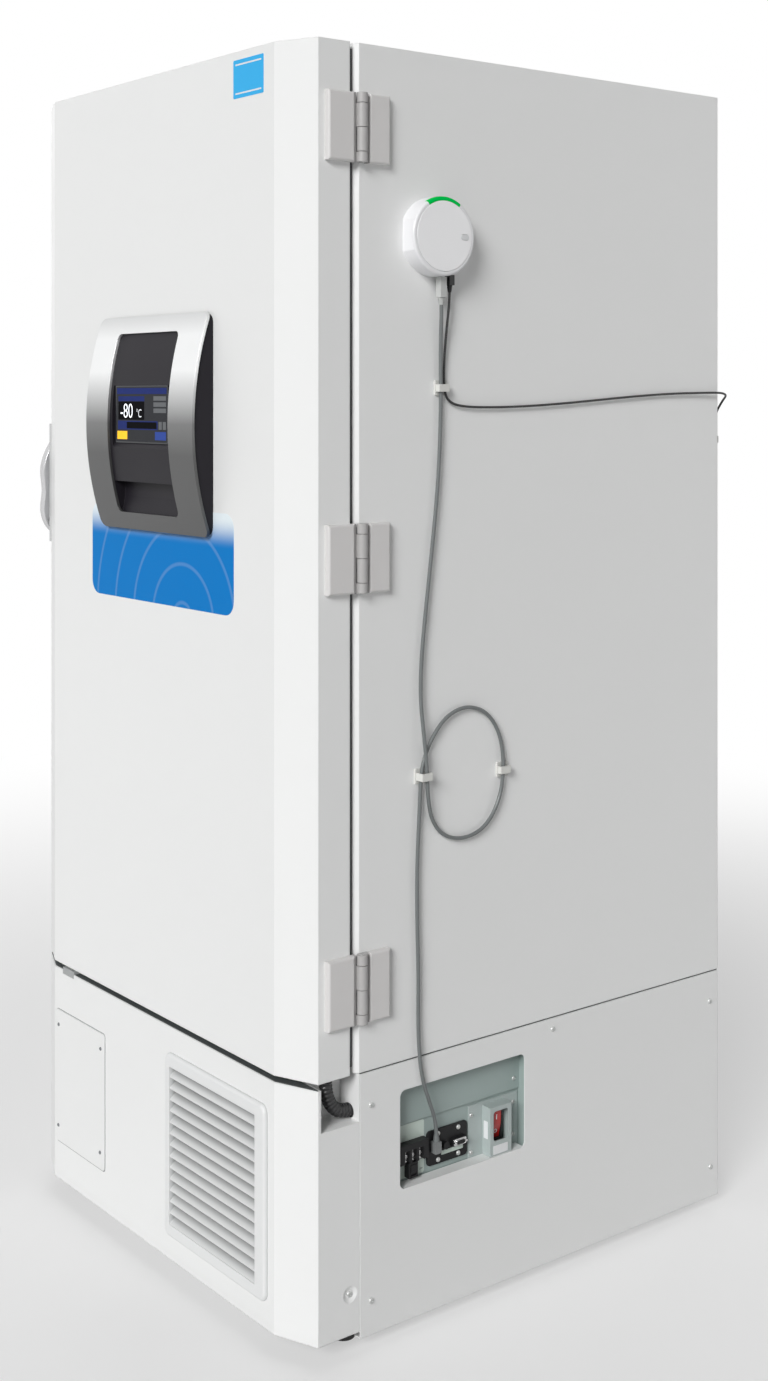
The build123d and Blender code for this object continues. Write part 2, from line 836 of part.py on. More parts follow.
def display_pieces():
    face = on_front(display_x, display_z, front_y)
    reach = display_mid_depth + bezel_thickness
    bezel = arched(display_width, display_edge_depth, display_mid_depth)
    bezel -= arched(
        2 * display_width, display_edge_depth - bezel_thickness, display_mid_depth - bezel_thickness
    )
    bezel &= rounded_slab(face, display_width, display_height, bezel_corner, reach)
    bezel -= rounded_slab(face, opening_width, opening_height, opening_corner, reach)
    save("display_bezel", bezel)

    housing = arched(display_width, display_edge_depth - bezel_thickness, display_mid_depth - bezel_thickness)
    inner_width = display_width - 2 * housing_inset
    inner_height = display_height - 2 * housing_inset
    housing &= rounded_slab(face, inner_width, inner_height, bezel_corner, reach)
    opening_z0 = display_z - opening_height / 2
    screen_z0 = screen_z - screen_height / 2
    screen_z1 = screen_z + screen_height / 2
    far = front_y - reach
    sill_z = screen_z0 - ledge_slope
    scoop_z = sill_z - sill_height
    screen_pocket = [
        (far, screen_z1),
        (front_y - screen_depth, screen_z1),
        (front_y - screen_depth, screen_z0),
        (front_y - ledge_depth, sill_z),
        (far, sill_z),
    ]
    scoop = [
        (far, scoop_z),
        (front_y - scoop_depth, scoop_z - screen_thickness),
        (front_y - scoop_depth, (scoop_z + opening_z0) / 2),
        (front_y - scoop_lip, opening_z0),
        (far, opening_z0),
    ]
    for outline, width in ((screen_pocket, screen_width + 2 * screen_margin), (scoop, opening_width)):
        housing -= across(outline, display_x - width / 2, display_x + width / 2)
    save("display_housing", housing)

    screen = block(
        display_x - screen_width / 2,
        display_x + screen_width / 2,
        front_y - screen_depth - screen_thickness,
        front_y - screen_depth,
        screen_z0,
        screen_z1,
    )
    save("display_screen", screen)


def handle_pieces():
    plate_rear = side_front_y + handle_plate_width
    plate_x = -(side_x + handle_plate)
    plate_z0 = lever_z0 - handle_plate_margin
    plate_z1 = lever_z1 + handle_plate_margin
    mount = block(plate_x, -side_x, side_front_y, plate_rear, plate_z0, plate_z1)
    mount = chamfer(mount.edges().group_by(Axis.X)[0], lever_gap)
    for z0, z1 in ((plate_z0, lever_z0 - fit_gap), (lever_z1 + fit_gap, plate_z1)):
        lug = rod((pivot_x, pivot_y, z0), (0, 0, 1), lever_barrel_radius, z1 - z0)
        lug += block(
            pivot_x, plate_x + lever_gap, pivot_y - lever_barrel_radius, pivot_y + lever_barrel_radius, z0, z1
        )
        mount += lug
    mount += rod((pivot_x, pivot_y, plate_z0), (0, 0, 1), lever_pin_radius, plate_z1 - plate_z0)
    lock_y = pivot_y - lever_reach / 2
    lock_z = handle_z - lock_drop
    mount -= rod((plate_x, lock_y, lock_z), (1, 0, 0), lock_radius + run_gap, lock_length)
    save("handle_mount", mount)

    lock = rod((plate_x - lock_length / 2, lock_y, lock_z), (1, 0, 0), lock_radius, 1.5 * lock_length)
    slot = block(
        plate_x - lock_length / 2,
        plate_x,
        lock_y - fit_gap * 3,
        lock_y + fit_gap * 3,
        lock_z - lock_radius / 2,
        lock_z + lock_radius / 2,
    )
    save("key_lock", lock - slot)

    x0 = pivot_x - lever_thickness / 2
    half = handle_height / 2
    grip = pivot_y - lever_reach
    shoulder = pivot_y - lever_barrel_radius
    front = Spline(
        (x0, shoulder, lever_z1),
        (x0, grip + 0.3 * lever_reach, handle_z + 0.68 * half),
        (x0, grip, handle_z + 0.2 * half),
        (x0, grip + 0.06 * lever_reach, handle_z - 0.16 * half),
        (x0, grip, handle_z - 0.5 * half),
        (x0, grip + 0.25 * lever_reach, handle_z - 0.85 * half),
        (x0, shoulder, lever_z0),
    )
    rear = Polyline(
        (x0, shoulder, lever_z0), (x0, pivot_y, lever_z0), (x0, pivot_y, lever_z1), (x0, shoulder, lever_z1)
    )
    lever = extrude(make_face(front + rear), amount=lever_thickness, dir=(1, 0, 0))
    lever = fillet(lever.edges().group_by(Axis.X)[0].sort_by(SortBy.LENGTH)[-1:], lever_edge)
    finger = on_side((grip + shoulder) / 2 + lever_rim / 4, handle_z, x0)
    finger_width = lever_reach - lever_barrel_radius - 1.5 * lever_rim
    lever -= rounded_slab(
        finger, finger_width, handle_height - 5 * lever_rim, finger_width / 2 - run_gap, lever_thickness
    )
    lever += rod((pivot_x, pivot_y, lever_z0), (0, 0, 1), lever_barrel_radius, handle_height)
    tongue_x = pivot_x - tongue_thickness
    lever += block(
        tongue_x,
        tongue_x + tongue_thickness,
        pivot_y,
        pivot_y + tongue_length,
        handle_z - tongue_height / 2,
        handle_z + tongue_height / 2,
    )
    lever -= rod((pivot_x, pivot_y, lever_z0), (0, 0, 1), lever_pin_radius + run_gap, handle_height)
    save("handle_lever", lever)

    strike_y = pivot_y + tongue_length + strike_gap
    strike = block(
        -side_x - strike_stand,
        -side_x,
        max(strike_y, flange_y + edge_bevel),
        strike_y + strike_depth,
        handle_z - strike_height / 2,
        handle_z + strike_height / 2,
    )
    return chamfer(strike.edges().group_by(Axis.X)[0], lever_edge)


def door_catches(strike):
    """The latch strike on the cabinet's left side and the rest block under the door."""
    rest = block(
        rest_left,
        rest_right,
        front_y + panel_sheet / 2,
        front_y + rest_depth,
        panel_z1 - rest_notch,
        door_z0 - rest_gap,
    )
    save("door_catches", strike, rest)


def dished(panel, side, y, z):
    """The panel with a dished screw seat pressed into one of its sides."""
    face = side * side_x
    inner = face - side * panel_sheet
    floor = face - side * seat_depth
    back = floor - side * panel_sheet
    outline = Polyline(
        (face, y + seat_radius, z),
        (floor, y + seat_floor_radius, z),
        (floor, y, z),
        (back, y, z),
        (back, y + seat_floor_radius, z),
        (inner, y + seat_radius, z),
        close=True,
    )
    seat = revolve(make_face(outline), axis=Axis((0, y, z), (1, 0, 0)))
    hole = rod((min(face, inner), y, z), (1, 0, 0), seat_radius, panel_sheet)
    return panel - hole + seat


def front_panel_pieces():
    panel = upright(bow_outline(panel_rear_y), panel_z0, panel_z1)
    panel -= upright(bow_outline(panel_rear_y + 2 * panel_sheet), panel_z0, panel_z1, panel_sheet)
    top = upright(bow_outline(panel_rear_y), panel_z1 - panel_sheet, panel_z1)
    top -= upright(bow_outline(panel_rear_y + 2 * front_return), panel_z1 - panel_sheet, panel_z1, front_return)
    panel += top
    panel -= block(
        grille_left + grille_lap,
        grille_right - grille_lap,
        front_y,
        front_y + panel_sheet,
        grille_z0 + grille_lap,
        grille_z1 - grille_lap,
    )
    panel -= block(
        rest_left, rest_right, front_y, front_y + rest_depth, panel_z1 - rest_notch, panel_z1
    )
    notch_y = side_front_y + notch_front
    notch_z = panel_z1 - notch_height
    wall_x = side_x - notch_width
    panel -= block(wall_x, side_x, notch_y, panel_rear_y, notch_z, panel_z1)
    wall_top = door_z0 - 2 * fit_gap
    rear_wall = block(wall_x, side_x, panel_rear_y - panel_sheet, panel_rear_y, notch_z, wall_top)
    rear_wall -= rod(
        (side_x - conduit_inset, panel_rear_y - panel_sheet, conduit_low_z),
        (0, 1, 0),
        conduit_radius + fit_gap,
        panel_sheet,
    )
    panel += rear_wall
    panel += block(wall_x, side_x, notch_y, panel_rear_y, notch_z - panel_sheet, notch_z)
    panel += block(wall_x - panel_sheet, wall_x, notch_y, panel_rear_y, notch_z - panel_sheet, panel_z1)
    panel += block(
        wall_x - panel_sheet, side_x - panel_sheet, notch_y - panel_sheet, notch_y, notch_z - panel_sheet, panel_z1
    )
    for side in (-1, 1):
        panel = dished(panel, side, panel_rear_y - seat_set_back, panel_z0 + seat_rise)
    save("front_panel", panel)

    cover_z0 = panel_z0 + cover_sill
    cover = rounded_slab(
        on_front((cover_left + cover_right) / 2, cover_z0 + cover_height / 2, front_y),
        cover_right - cover_left,
        cover_height,
        cover_corner,
        cover_thickness,
    )
    save("recorder_cover_plate", cover)


def grille():
    width = grille_right - grille_left
    height = grille_z1 - grille_z0
    x = (grille_left + grille_right) / 2
    z = (grille_z0 + grille_z1) / 2
    frame = rounded_slab(on_front(x, z, front_y), width, height, grille_corner, grille_proud)
    frame = fillet(frame.edges().group_by(Axis.Y)[0], grille_round)
    frame += block(
        grille_left + grille_lap,
        grille_right - grille_lap,
        front_y,
        front_y + grille_depth,
        grille_z0 + grille_lap,
        grille_z1 - grille_lap,
    )
    left = grille_left + grille_side
    right = grille_right - grille_far_side
    low = grille_z0 + grille_sill
    high = grille_z1 - grille_head
    rows = int((high - low) // louvre_pitch)
    top = low + rows * louvre_pitch
    frame -= block(left, right, front_y - grille_proud, front_y + grille_depth, low + louvre_sheet / 2, top)
    lip_y = front_y - grille_proud + louvre_set_back
    rear_y = front_y + grille_depth
    for row in range(rows):
        z0 = low + row * louvre_pitch
        blade = [
            (lip_y, z0),
            (lip_y, z0 + louvre_sheet),
            (rear_y, z0 + louvre_rise + louvre_sheet),
            (rear_y, z0 + louvre_rise),
        ]
        frame += across(blade, left, right)
    save("front_grille", frame)

    dust = block(
        grille_left + grille_lap,
        grille_right - grille_lap,
        filter_y,
        condenser_y,
        grille_z0 + grille_lap,
        grille_z1 - grille_lap,
    )
    save("dust_filter", dust)


def side_panel(side):
    outer = side_x + side_panel_proud
    inner = outer - panel_sheet
    y0 = panel_rear_y + fit_gap
    y1 = back_y
    pieces = [(inner, outer, side_panel_foot, side_panel_z1)]
    pieces.append((frame_x, inner, side_panel_foot, side_panel_foot + panel_sheet))
    pieces.append((frame_x, inner, side_panel_z1 - panel_sheet, side_panel_z1))
    panel = None
    for x0, x1, z0, z1 in pieces:
        edges = sorted((side * x0, side * x1))
        strip = block(edges[0], edges[1], y0, y1 - sheet, z0, z1)
        panel = strip if panel is None else panel + strip
    return panel


def base_panels():
    save("left_side_panel", side_panel(-1))
    right = side_panel(1)
    middle = on_side((window_front + window_rear) / 2, (window_z0 + window_z1) / 2, side_x - panel_sheet)
    right -= rounded_slab(
        middle, window_rear - window_front, window_height, window_corner, 2 * panel_sheet + side_panel_proud
    )
    save("right_side_panel", right)

    rear = block(-side_x, side_x, back_y - sheet, back_y, rear_panel_foot, side_panel_z1)
    for column in range(vent_columns):
        x0 = (column - vent_columns / 2) * (vent_width + vent_pitch) + vent_pitch / 2
        for row in range(vent_rows):
            z0 = vent_sill + row * vent_pitch
            rear -= block(x0, x0 + vent_width, back_y - sheet, back_y, z0, z0 + vent_height)
    gland = rod((gland_x, back_y - sheet, gland_z), (0, 1, 0), gland_radius, gland_length)
    rear += gland
    rear -= rod((gland_x, back_y - sheet, gland_z), (0, 1, 0), gland_bore, gland_length)
    save("rear_panel", rear)


def base_frame():
    frame = block(-frame_x, frame_x, strip_rear, back_y - sheet, deck_z0, base_height)
    frame += block(-frame_x, frame_x, panel_rear_y, back_y - sheet, pan_height, pan_top)
    tongue_x = flat_x - front_return
    frame += block(-tongue_x, tongue_x, front_y + panel_sheet, panel_rear_y, pan_height, pan_top)
    for side in (-1, 1):
        for y0 in (panel_rear_y + post_set_back, back_y - sheet - post_set_back - post_size):
            edges = sorted((side * (side_x - post_inset - post_size), side * (side_x - post_inset)))
            post = block(edges[0], edges[1], y0, y0 + post_size, pan_top, deck_z0)
            post -= block(
                edges[0] + post_wall, edges[1], y0 + post_wall, y0 + post_size, pan_top, deck_z0
            )
            frame += post
        boss_z = fork_z + fit_gap
        boss = rod((side * caster_x, caster_y, boss_z), (0, 0, 1), caster_boss, pan_top - boss_z)
        frame += boss
        frame -= rod((side * caster_x, caster_y, boss_z), (0, 0, 1), stem_radius + run_gap, pan_top - boss_z)
        foot_z = pan_height - foot_boss_length
        frame += rod((side * foot_x, caster_y, foot_z), (0, 0, 1), foot_boss, pan_top - foot_z)
        frame -= rod(
            (side * foot_x, caster_y, foot_z), (0, 0, 1), foot_stem_radius + run_gap, pan_top - foot_z
        )
        for ear_side in (-1, 1):
            ear_x = side * caster_x + ear_side * (wheel_width / 2 + fork_gap + fork_sheet / 2)
            ear = block(
                ear_x - fork_sheet / 2,
                ear_x + fork_sheet / 2,
                rear_wheel_y - caster_boss,
                rear_wheel_y + caster_boss,
                wheel_radius - fork_margin,
                pan_height,
            )
            ear -= rod(
                (ear_x - fork_sheet, rear_wheel_y, wheel_radius), (1, 0, 0), axle_radius + run_gap, 2 * fork_sheet
            )
            frame += ear
    save("base_frame", frame)


def wheel(name, x, y, z):
    tyre = rod((x - wheel_width / 2, y, z), (1, 0, 0), wheel_radius, wheel_width)
    tyre = chamfer(tyre.edges(), fork_sheet)
    half_axle = wheel_width / 2 + fork_gap + fork_sheet
    tyre += rod((x - half_axle, y, z), (1, 0, 0), axle_radius, 2 * half_axle)
    save(name, tyre)


def wheels_and_feet():
    for side, word in ((-1, "left"), (1, "right")):
        x = side * caster_x
        wheel("rear_wheel_" + word, x, rear_wheel_y, wheel_radius)
        wheel("front_wheel_" + word, x, axle_y, wheel_z)
        fork = rod((x, caster_y, fork_z - fork_crown), (0, 0, 1), caster_boss, fork_crown)
        ear_reach = wheel_width / 2 + fork_gap
        fork += block(
            x - ear_reach - fork_sheet,
            x + ear_reach + fork_sheet,
            caster_y - caster_boss / 2,
            axle_y + fork_margin,
            fork_z - fork_crown + fork_gap,
            fork_z,
        )
        for ear_side in (-1, 1):
            edges = sorted((x + ear_side * ear_reach, x + ear_side * (ear_reach + fork_sheet)))
            ear = block(
                edges[0],
                edges[1],
                caster_y - caster_boss / 2,
                axle_y + fork_margin,
                wheel_z - fork_margin,
                fork_z,
            )
            ear -= rod((edges[0], axle_y, wheel_z), (1, 0, 0), axle_radius + run_gap, fork_sheet)
            fork += ear
        fork += rod((x, caster_y, fork_z), (0, 0, 1), stem_radius, pan_top - fork_z)
        save("caster_fork_" + word, fork)

        foot = rod((side * foot_x, caster_y, 0), (0, 0, 1), foot_radius, foot_pad)
        foot = chamfer(foot.edges().group_by(Axis.Z)[-1], foot_pad / 3)
        foot += rod((side * foot_x, caster_y, 0), (0, 0, 1), foot_stem_radius, pan_top + foot_pad)
        save("levelling_foot_" + word, foot)


def service_pieces():
    rim_front = window_front - box_rim
    rim_rear = window_rear + box_rim
    panel_inner = side_x + side_panel_proud - panel_sheet
    box = block(side_x - box_depth, panel_inner, rim_front, rim_rear, window_z0 - box_rim, deck_z0)
    pocket_y0 = window_front - recess_lap
    pocket_y1 = window_rear + recess_lap
    pocket_z0 = window_z0 - recess_lap
    pocket_z1 = window_z1 + recess_lap
    box -= block(face_x, panel_inner, pocket_y0, pocket_y1, pocket_z0, pocket_z1)
    box += block(face_x, face_x + cover_step, pocket_y0, pocket_y1, pocket_z1 - cover_step_height, pocket_z1)
    save("control_box", box)

    plate_y = window_front + socket_plate_front + socket_plate_width / 2
    plate_z = window_z0 + socket_plate_rise + socket_plate_height / 2
    plate = rounded_slab(
        on_side(plate_y, plate_z, face_x), socket_plate_width, socket_plate_height, cover_corner, socket_plate_thickness
    )
    top = face_x + socket_plate_thickness
    third = socket_plate_width / 6
    connector = block(
        top,
        top + socket_length,
        plate_y + third / 2,
        plate_y + 3 * third - third / 2,
        plate_z - socket_radius,
        plate_z + socket_radius,
    )
    plate += chamfer(connector.edges().group_by(Axis.X)[-1], fit_gap * 4)
    plate += rod((top, plate_y - third / 2, plate_z), (1, 0, 0), socket_radius, socket_length)
    save("connector_plate", plate)

    term_y0 = window_front + terminal_front
    term_z0 = window_z0 + terminal_rise
    terminal = block(
        face_x, face_x + terminal_depth, term_y0, term_y0 + terminal_width, term_z0, term_z0 + terminal_height
    )
    step = terminal_width / (terminal_ways + 1)
    for way in range(terminal_ways):
        y0 = term_y0 + step * (way + 0.5) + clip_wall
        terminal -= block(
            face_x + terminal_depth / 2,
            face_x + terminal_depth,
            y0,
            y0 + step - 2 * clip_wall,
            term_z0,
            term_z0 + terminal_height * 2 / 3,
        )
    save("alarm_terminal_block", terminal)

    guard_y0 = window_front + guard_front
    guard_z0 = pocket_z0 + guard_lift
    hat_y0 = window_front + hat_front
    hat_z0 = guard_z0 + (guard_height - hat_height) / 2
    hat_front_x = side_x - 2 * guard_sheet
    hat_in = (face_x, hat_front_x - guard_sheet, hat_y0 + guard_sheet, hat_y0 + hat_width - guard_sheet)
    guard = block(
        face_x, face_x + guard_sheet, guard_y0, guard_y0 + guard_width, guard_z0, guard_z0 + guard_height
    )
    guard += block(face_x, hat_front_x, hat_y0, hat_y0 + hat_width, hat_z0, hat_z0 + hat_height)
    guard -= block(*hat_in, hat_z0 + guard_sheet, hat_z0 + hat_height - guard_sheet)
    look_z = hat_z0 + hat_height - hat_window_drop - hat_window_height / 2
    guard -= rounded_slab(
        on_side(hat_y0 + hat_width / 2, look_z, hat_front_x - 2 * guard_sheet),
        hat_window_width,
        hat_window_height,
        hat_window_corner,
        3 * guard_sheet,
    )
    save("breaker_guard", guard)

    breaker_y = window_front + breaker_front + breaker_width / 2 - guard_sheet
    battery_y = window_front + battery_front + battery_width / 2
    battery_z = window_z0 + battery_rise + battery_height / 2
    bodies = []
    for name, y, z, width, height in (
        ("breaker_rocker", breaker_y, look_z, breaker_width, breaker_height),
        ("battery_rocker", battery_y, battery_z, battery_width, battery_height),
    ):
        body, rocker = rocker_switch(y, z, width, height)
        bodies.append(body)
        save(name, rocker)
    save("switch_bodies", *bodies)
    return plate_y, plate_z, top


def rocker_switch(y, z, width, height):
    """A switch frame on the recess face and the tilted rocker that turns on pins in it."""
    front = face_x + rocker_frame
    body = block(face_x, front, y - width / 2, y + width / 2, z - height / 2, z + height / 2)
    half_y = width / 2 - rocker_wall
    half_z = height / 2 - rocker_wall
    body -= block(face_x + rocker_wall / 2, front, y - half_y, y + half_y, z - half_z, z + half_z)
    pivot = front - rocker_wall
    pin_start = (pivot, y - half_y - rocker_pin_length, z)
    pin_length = 2 * (half_y + rocker_pin_length)
    body -= rod(pin_start, (0, 1, 0), rocker_pin_radius + run_gap, pin_length)
    reach = half_z - rocker_clearance
    half = rocker_thickness / 2
    outline = [
        (-half, -reach),
        (half, -reach),
        (half + rocker_crown, 0.0),
        (half, reach),
        (-half, reach),
    ]
    y0 = y - half_y + rocker_clearance
    face = make_face(Polyline(*[(x, y0, dz) for x, dz in outline], close=True))
    rocker = extrude(face, amount=2 * (half_y - rocker_clearance), dir=(0, 1, 0))
    rocker = Pos(pivot, 0, z) * Rot(0, rocker_tilt, 0) * rocker
    return body, rocker + rod(pin_start, (0, 1, 0), rocker_pin_radius, pin_length)


def refrigeration():
    pack = block(condenser_left, condenser_right, condenser_y, shroud_y, pan_top, condenser_z1)
    count = int((condenser_right - condenser_left) // fin_pitch)
    for i in range(1, count):
        x0 = condenser_left + i * fin_pitch
        pack -= block(x0, x0 + fin_gap, condenser_y, condenser_y + fin_depth, pan_top + fin_pitch, condenser_z1 - fin_pitch)
    save("condenser", pack)

    shroud = block(
        condenser_left, condenser_right, shroud_y, shroud_y + shroud_sheet, pan_top, condenser_z1
    )
    shroud -= rod((fan_x, shroud_y, fan_z), (0, 1, 0), fan_hole, shroud_sheet)
    motor_y = fan_y + fan_width + fan_gap
    motor = rod((fan_x, motor_y, fan_z), (0, 1, 0), motor_radius, motor_length)
    arm_length = motor_y - shroud_y
    for turn in range(4):
        angle = math.radians(45 + 90 * turn)
        ax = fan_x + arm_ring * math.cos(angle)
        az = fan_z + arm_ring * math.sin(angle)
        motor += rod((ax, shroud_y, az), (0, 1, 0), arm_radius, arm_length + 2 * arm_radius)
        inward = (-math.cos(angle), 0, -math.sin(angle))
        motor += rod((ax, motor_y + arm_radius, az), inward, arm_radius, arm_ring - motor_radius / 2)
    motor += rod((fan_x, fan_y, fan_z), (0, 1, 0), shaft_radius, fan_width + 2 * fan_gap)
    save("fan_motor", shroud + motor)

    fan = rod((fan_x, fan_y, fan_z), (0, 1, 0), fan_hub, fan_width)
    blade_length = fan_radius - fan_hub / 2
    for turn in range(fan_blades):
        blade = Pos(fan_hub / 2 + blade_length / 2, 0, 0) * Rot(blade_pitch, 0, 0)
        blade = blade * Box(blade_length, blade_sheet, 2 * fan_width * 0.8)
        spin = Rot(0, 360.0 * turn / fan_blades, 0)
        fan += Pos(fan_x, fan_y + fan_width / 2, fan_z) * spin * blade
    fan -= rod((fan_x, fan_y, fan_z), (0, 1, 0), shaft_radius + run_gap, fan_width)
    save("fan", fan)

    cans = []
    for cx, cy in compressor_places:
        half = compressor_foot / 2
        foot_top = pan_top + compressor_foot_sheet
        foot = block(cx - half, cx + half, cy - half, cy + half, pan_top, foot_top)
        can = rod((cx, cy, foot_top), (0, 0, 1), compressor_radius, compressor_height)
        can = chamfer(can.edges().group_by(Axis.Z)[-1], compressor_radius / 3)
        cans.append(foot + can)
    save("compressors", *cans)


def rear_spacers():
    pieces = []
    z1 = cabinet_height - spacer_drop
    for side in (-1, 1):
        x = side * (side_x - spacer_inset)
        half = spacer_width / 2
        spacer = block(x - half, x + half, back_y, back_y + spacer_reach, z1 - spacer_height, z1)
        spacer -= block(
            x - half + spacer_sheet,
            x + half - spacer_sheet,
            back_y + spacer_sheet,
            back_y + spacer_reach - spacer_sheet,
            z1 - spacer_height,
            z1,
        )
        pieces.append(spacer)
    save("rear_spacers", *pieces)


def monitor():
    """The base with its light channel in the rim, the cover let into it and the push button."""
    low = (Align.CENTER, Align.CENTER, Align.MIN)
    front_x = side_x + monitor_base
    base = on_side(monitor_y, monitor_z, side_x) * Cylinder(monitor_radius, monitor_base, align=low)
    base = fillet(base.edges().group_by(Axis.X)[-1], monitor_round)
    base -= block(
        side_x,
        front_x - monitor_round,
        monitor_y - monitor_radius - monitor_round,
        monitor_y - monitor_radius + monitor_flat,
        monitor_z - monitor_flat_height / 2,
        monitor_z + monitor_flat_height / 2,
    )
    cover_back = front_x - monitor_cover_sink
    cover_place = on_side(monitor_y, monitor_z, cover_back)
    base -= cover_place * Cylinder(monitor_cover_radius + fit_gap, monitor_cover_sink, align=low)
    wedge_reach = 2 * monitor_radius
    half = math.radians(light_angle / 2)
    wedge = make_face(
        Polyline(
            (0, 0),
            (-wedge_reach * math.sin(half), wedge_reach * math.cos(half)),
            (wedge_reach * math.sin(half), wedge_reach * math.cos(half)),
            close=True,
        )
    )
    channel = wedge & (Circle(monitor_radius + monitor_round) - Circle(monitor_cover_radius + fit_gap))
    base -= extrude(on_side(monitor_y, monitor_z, front_x) * channel, amount=-light_depth)
    button_y = monitor_y + button_offset
    stem_place = (cover_back - button_travel - fit_gap, button_y, monitor_z)
    base -= rod(stem_place, (1, 0, 0), stem_bore_radius + fit_gap, button_travel + fit_gap)
    save("monitor_housing", base)

    cover = cover_place * Cylinder(monitor_cover_radius, monitor_cover_height, align=low)
    cover = fillet(cover.edges().group_by(Axis.X)[-1], monitor_cover_edge)
    cover_front = cover_back + monitor_cover_height
    well = on_side(button_y, monitor_z, cover_front) * SlotOverall(
        button_width + 2 * fit_gap, button_height + 2 * fit_gap
    )
    cover -= extrude(well, amount=-button_well)
    cover -= rod((cover_back, button_y, monitor_z), (1, 0, 0), stem_bore_radius, monitor_cover_height)
    save("monitor_cover", cover)

    cap_back = cover_front + button_proud - button_cap
    cap = on_side(button_y, monitor_z, cap_back) * SlotOverall(button_width, button_height)
    button = extrude(cap, amount=button_cap)
    button = fillet(button.edges().group_by(Axis.X)[-1], monitor_cover_edge)
    button += rod((cover_back, button_y, monitor_z), (1, 0, 0), stem_bore_radius - run_gap, cap_back - cover_back)
    save("monitor_button", button)


def round_radii(points):
    """The largest even arc at each corner of a cable's route."""
    radii = []
    for a, b, c in zip(points, points[1:], points[2:]):
        first = Vector(*b) - Vector(*a)
        second = Vector(*c) - Vector(*b)
        turn = math.radians(first.get_angle(second))
        shorter = min(first.length, second.length)
        radii.append(0.45 * shorter / math.tan(turn / 2))
    return radii


def tube(name, points, radius):
    radii = round_radii(points)
    path = FilletPolyline(*points, radius=radii)
    ring = Plane(origin=path @ 0, z_dir=path % 0) * Circle(radius)
    solid = sweep(ring, path=path)
    share = solid.volume / (math.pi * radius**2 * path.length)
    print(name, "length", round(path.length), "least radius", round(min(radii), 1), "volume share", round(share, 4))
    print(name, "radii", [round(r) for r in radii])
    return solid


def hung(points, start_y):
    """Cable points in place, with the drop stretched to the height between the two plugs."""
    return [(side_x + x, start_y + y, cable_top - drop * cable_stretch) for x, y, drop in points]


def lead_run():
    """The power lead's run back along the side, rising a little, between its two cornered ends."""
    x, y0, z0 = hung(lead_route, flange_y)[-1]
    y1 = hung(lead_corner, back_y)[0][1]
    points = []
    for i in range(1, lead_run_count):
        share = i / lead_run_count
        rise = lead_run_rise * share**2 * (3 - 2 * share)
        points.append((x, y0 + share * (y1 - y0), z0 + rise))
    return points


def lead_hang():
    """The power lead's free hang down the back, bowing one way."""
    x, y, z = hung([lead_hang_top], back_y)[0]
    points = []
    for i in range(lead_hang_runs + 1):
        share = i / lead_hang_runs
        drop = share * (z - lead_hang_foot)
        points.append((x - lead_hang_drift * share**2, y + lead_hang_sag * share**2, z - drop))
    return points


def below_monitor(y):
    """Height of the monitor's rim at a place along the side, less a small gap."""
    return monitor_z - math.sqrt(monitor_radius**2 - (y - monitor_y) ** 2) - fit_gap


def cable_pieces(plate_y, plate_z, plate_top):
    half = plug_width / 2
    lead_half = lead_plug_width / 2
    lead_plug_top = below_monitor(lead_plug_y - lead_half)
    lead_start = lead_plug_top - plug_length / 2
    plug_x = side_x + plug_stand
    socket_y = plate_y - socket_plate_width / 3
    socket_x = plate_top + plug_width / 2
    socket_end = (socket_x, socket_y, plate_z + plug_width)

    points = [(plug_x, sensor_plug_y, cable_top), (plug_x, sensor_plug_y, cable_top - plug_width)]
    points += hung(sensor_route, flange_y) + [(socket_x, socket_y, plate_z + 2.5 * plug_width), socket_end]
    save("sensor_cable", tube("sensor_cable", points, sensor_radius))

    points = [(plug_x, lead_plug_y, lead_start), (plug_x, lead_plug_y, lead_start - plug_width)]
    points += hung(lead_route, flange_y) + lead_run() + hung(lead_corner, back_y) + lead_hang()
    points += [(side_x + x, back_y + y, z) for x, y, z in lead_floor]
    save("power_lead", tube("power_lead", points, lead_radius))

    grey_plug = block(
        plug_x - half, plug_x + half, sensor_plug_y - half, sensor_plug_y + half, cable_top, plug_top
    )
    black_plug = block(
        plug_x - half,
        plug_x + half,
        lead_plug_y - lead_half,
        lead_plug_y + lead_half,
        lead_start,
        lead_plug_top,
    )
    socket_plug = block(
        plate_top, plate_top + plug_width, socket_y - half, socket_y + half, plate_z - half, plate_z + plug_width
    )
    save("cable_plugs", grey_plug, black_plug, socket_plug)

    end_x, end_y, end_z = points[-1]
    middle_y = end_y + coil_middle_radius
    coil_outer = coil_middle_radius + coil_section / 2
    end_x -= math.sqrt(coil_outer**2 - (coil_middle_radius - lead_radius) ** 2) + fit_gap
    coil = Pos(end_x, middle_y, 0) * Cylinder(
        coil_outer, coil_section, align=(Align.CENTER, Align.CENTER, Align.MIN)
    )
    coil -= Pos(end_x, middle_y, 0) * Cylinder(
        coil_middle_radius - coil_section / 2, coil_section, align=(Align.CENTER, Align.CENTER, Align.MIN)
    )
    far_y = middle_y + coil_middle_radius
    coil += rod((end_x, far_y, coil_section / 2), (1, 0, 0), lead_radius, coil_tail)
    save("power_lead_coil", coil)

    adaptor_x = end_x + coil_tail
    body_x = adaptor_x + adaptor_plug
    plug = block(
        adaptor_x,
        body_x,
        far_y - lead_plug_width / 2,
        far_y + lead_plug_width / 2,
        coil_section / 2 - lead_radius,
        coil_section / 2 + lead_radius,
    )
    body = block(
        body_x, body_x + adaptor_length, far_y - adaptor_width / 2, far_y + adaptor_width / 2, 0, adaptor_height
    )
    save("power_adaptor", plug + chamfer(body.edges(), clip_wall))


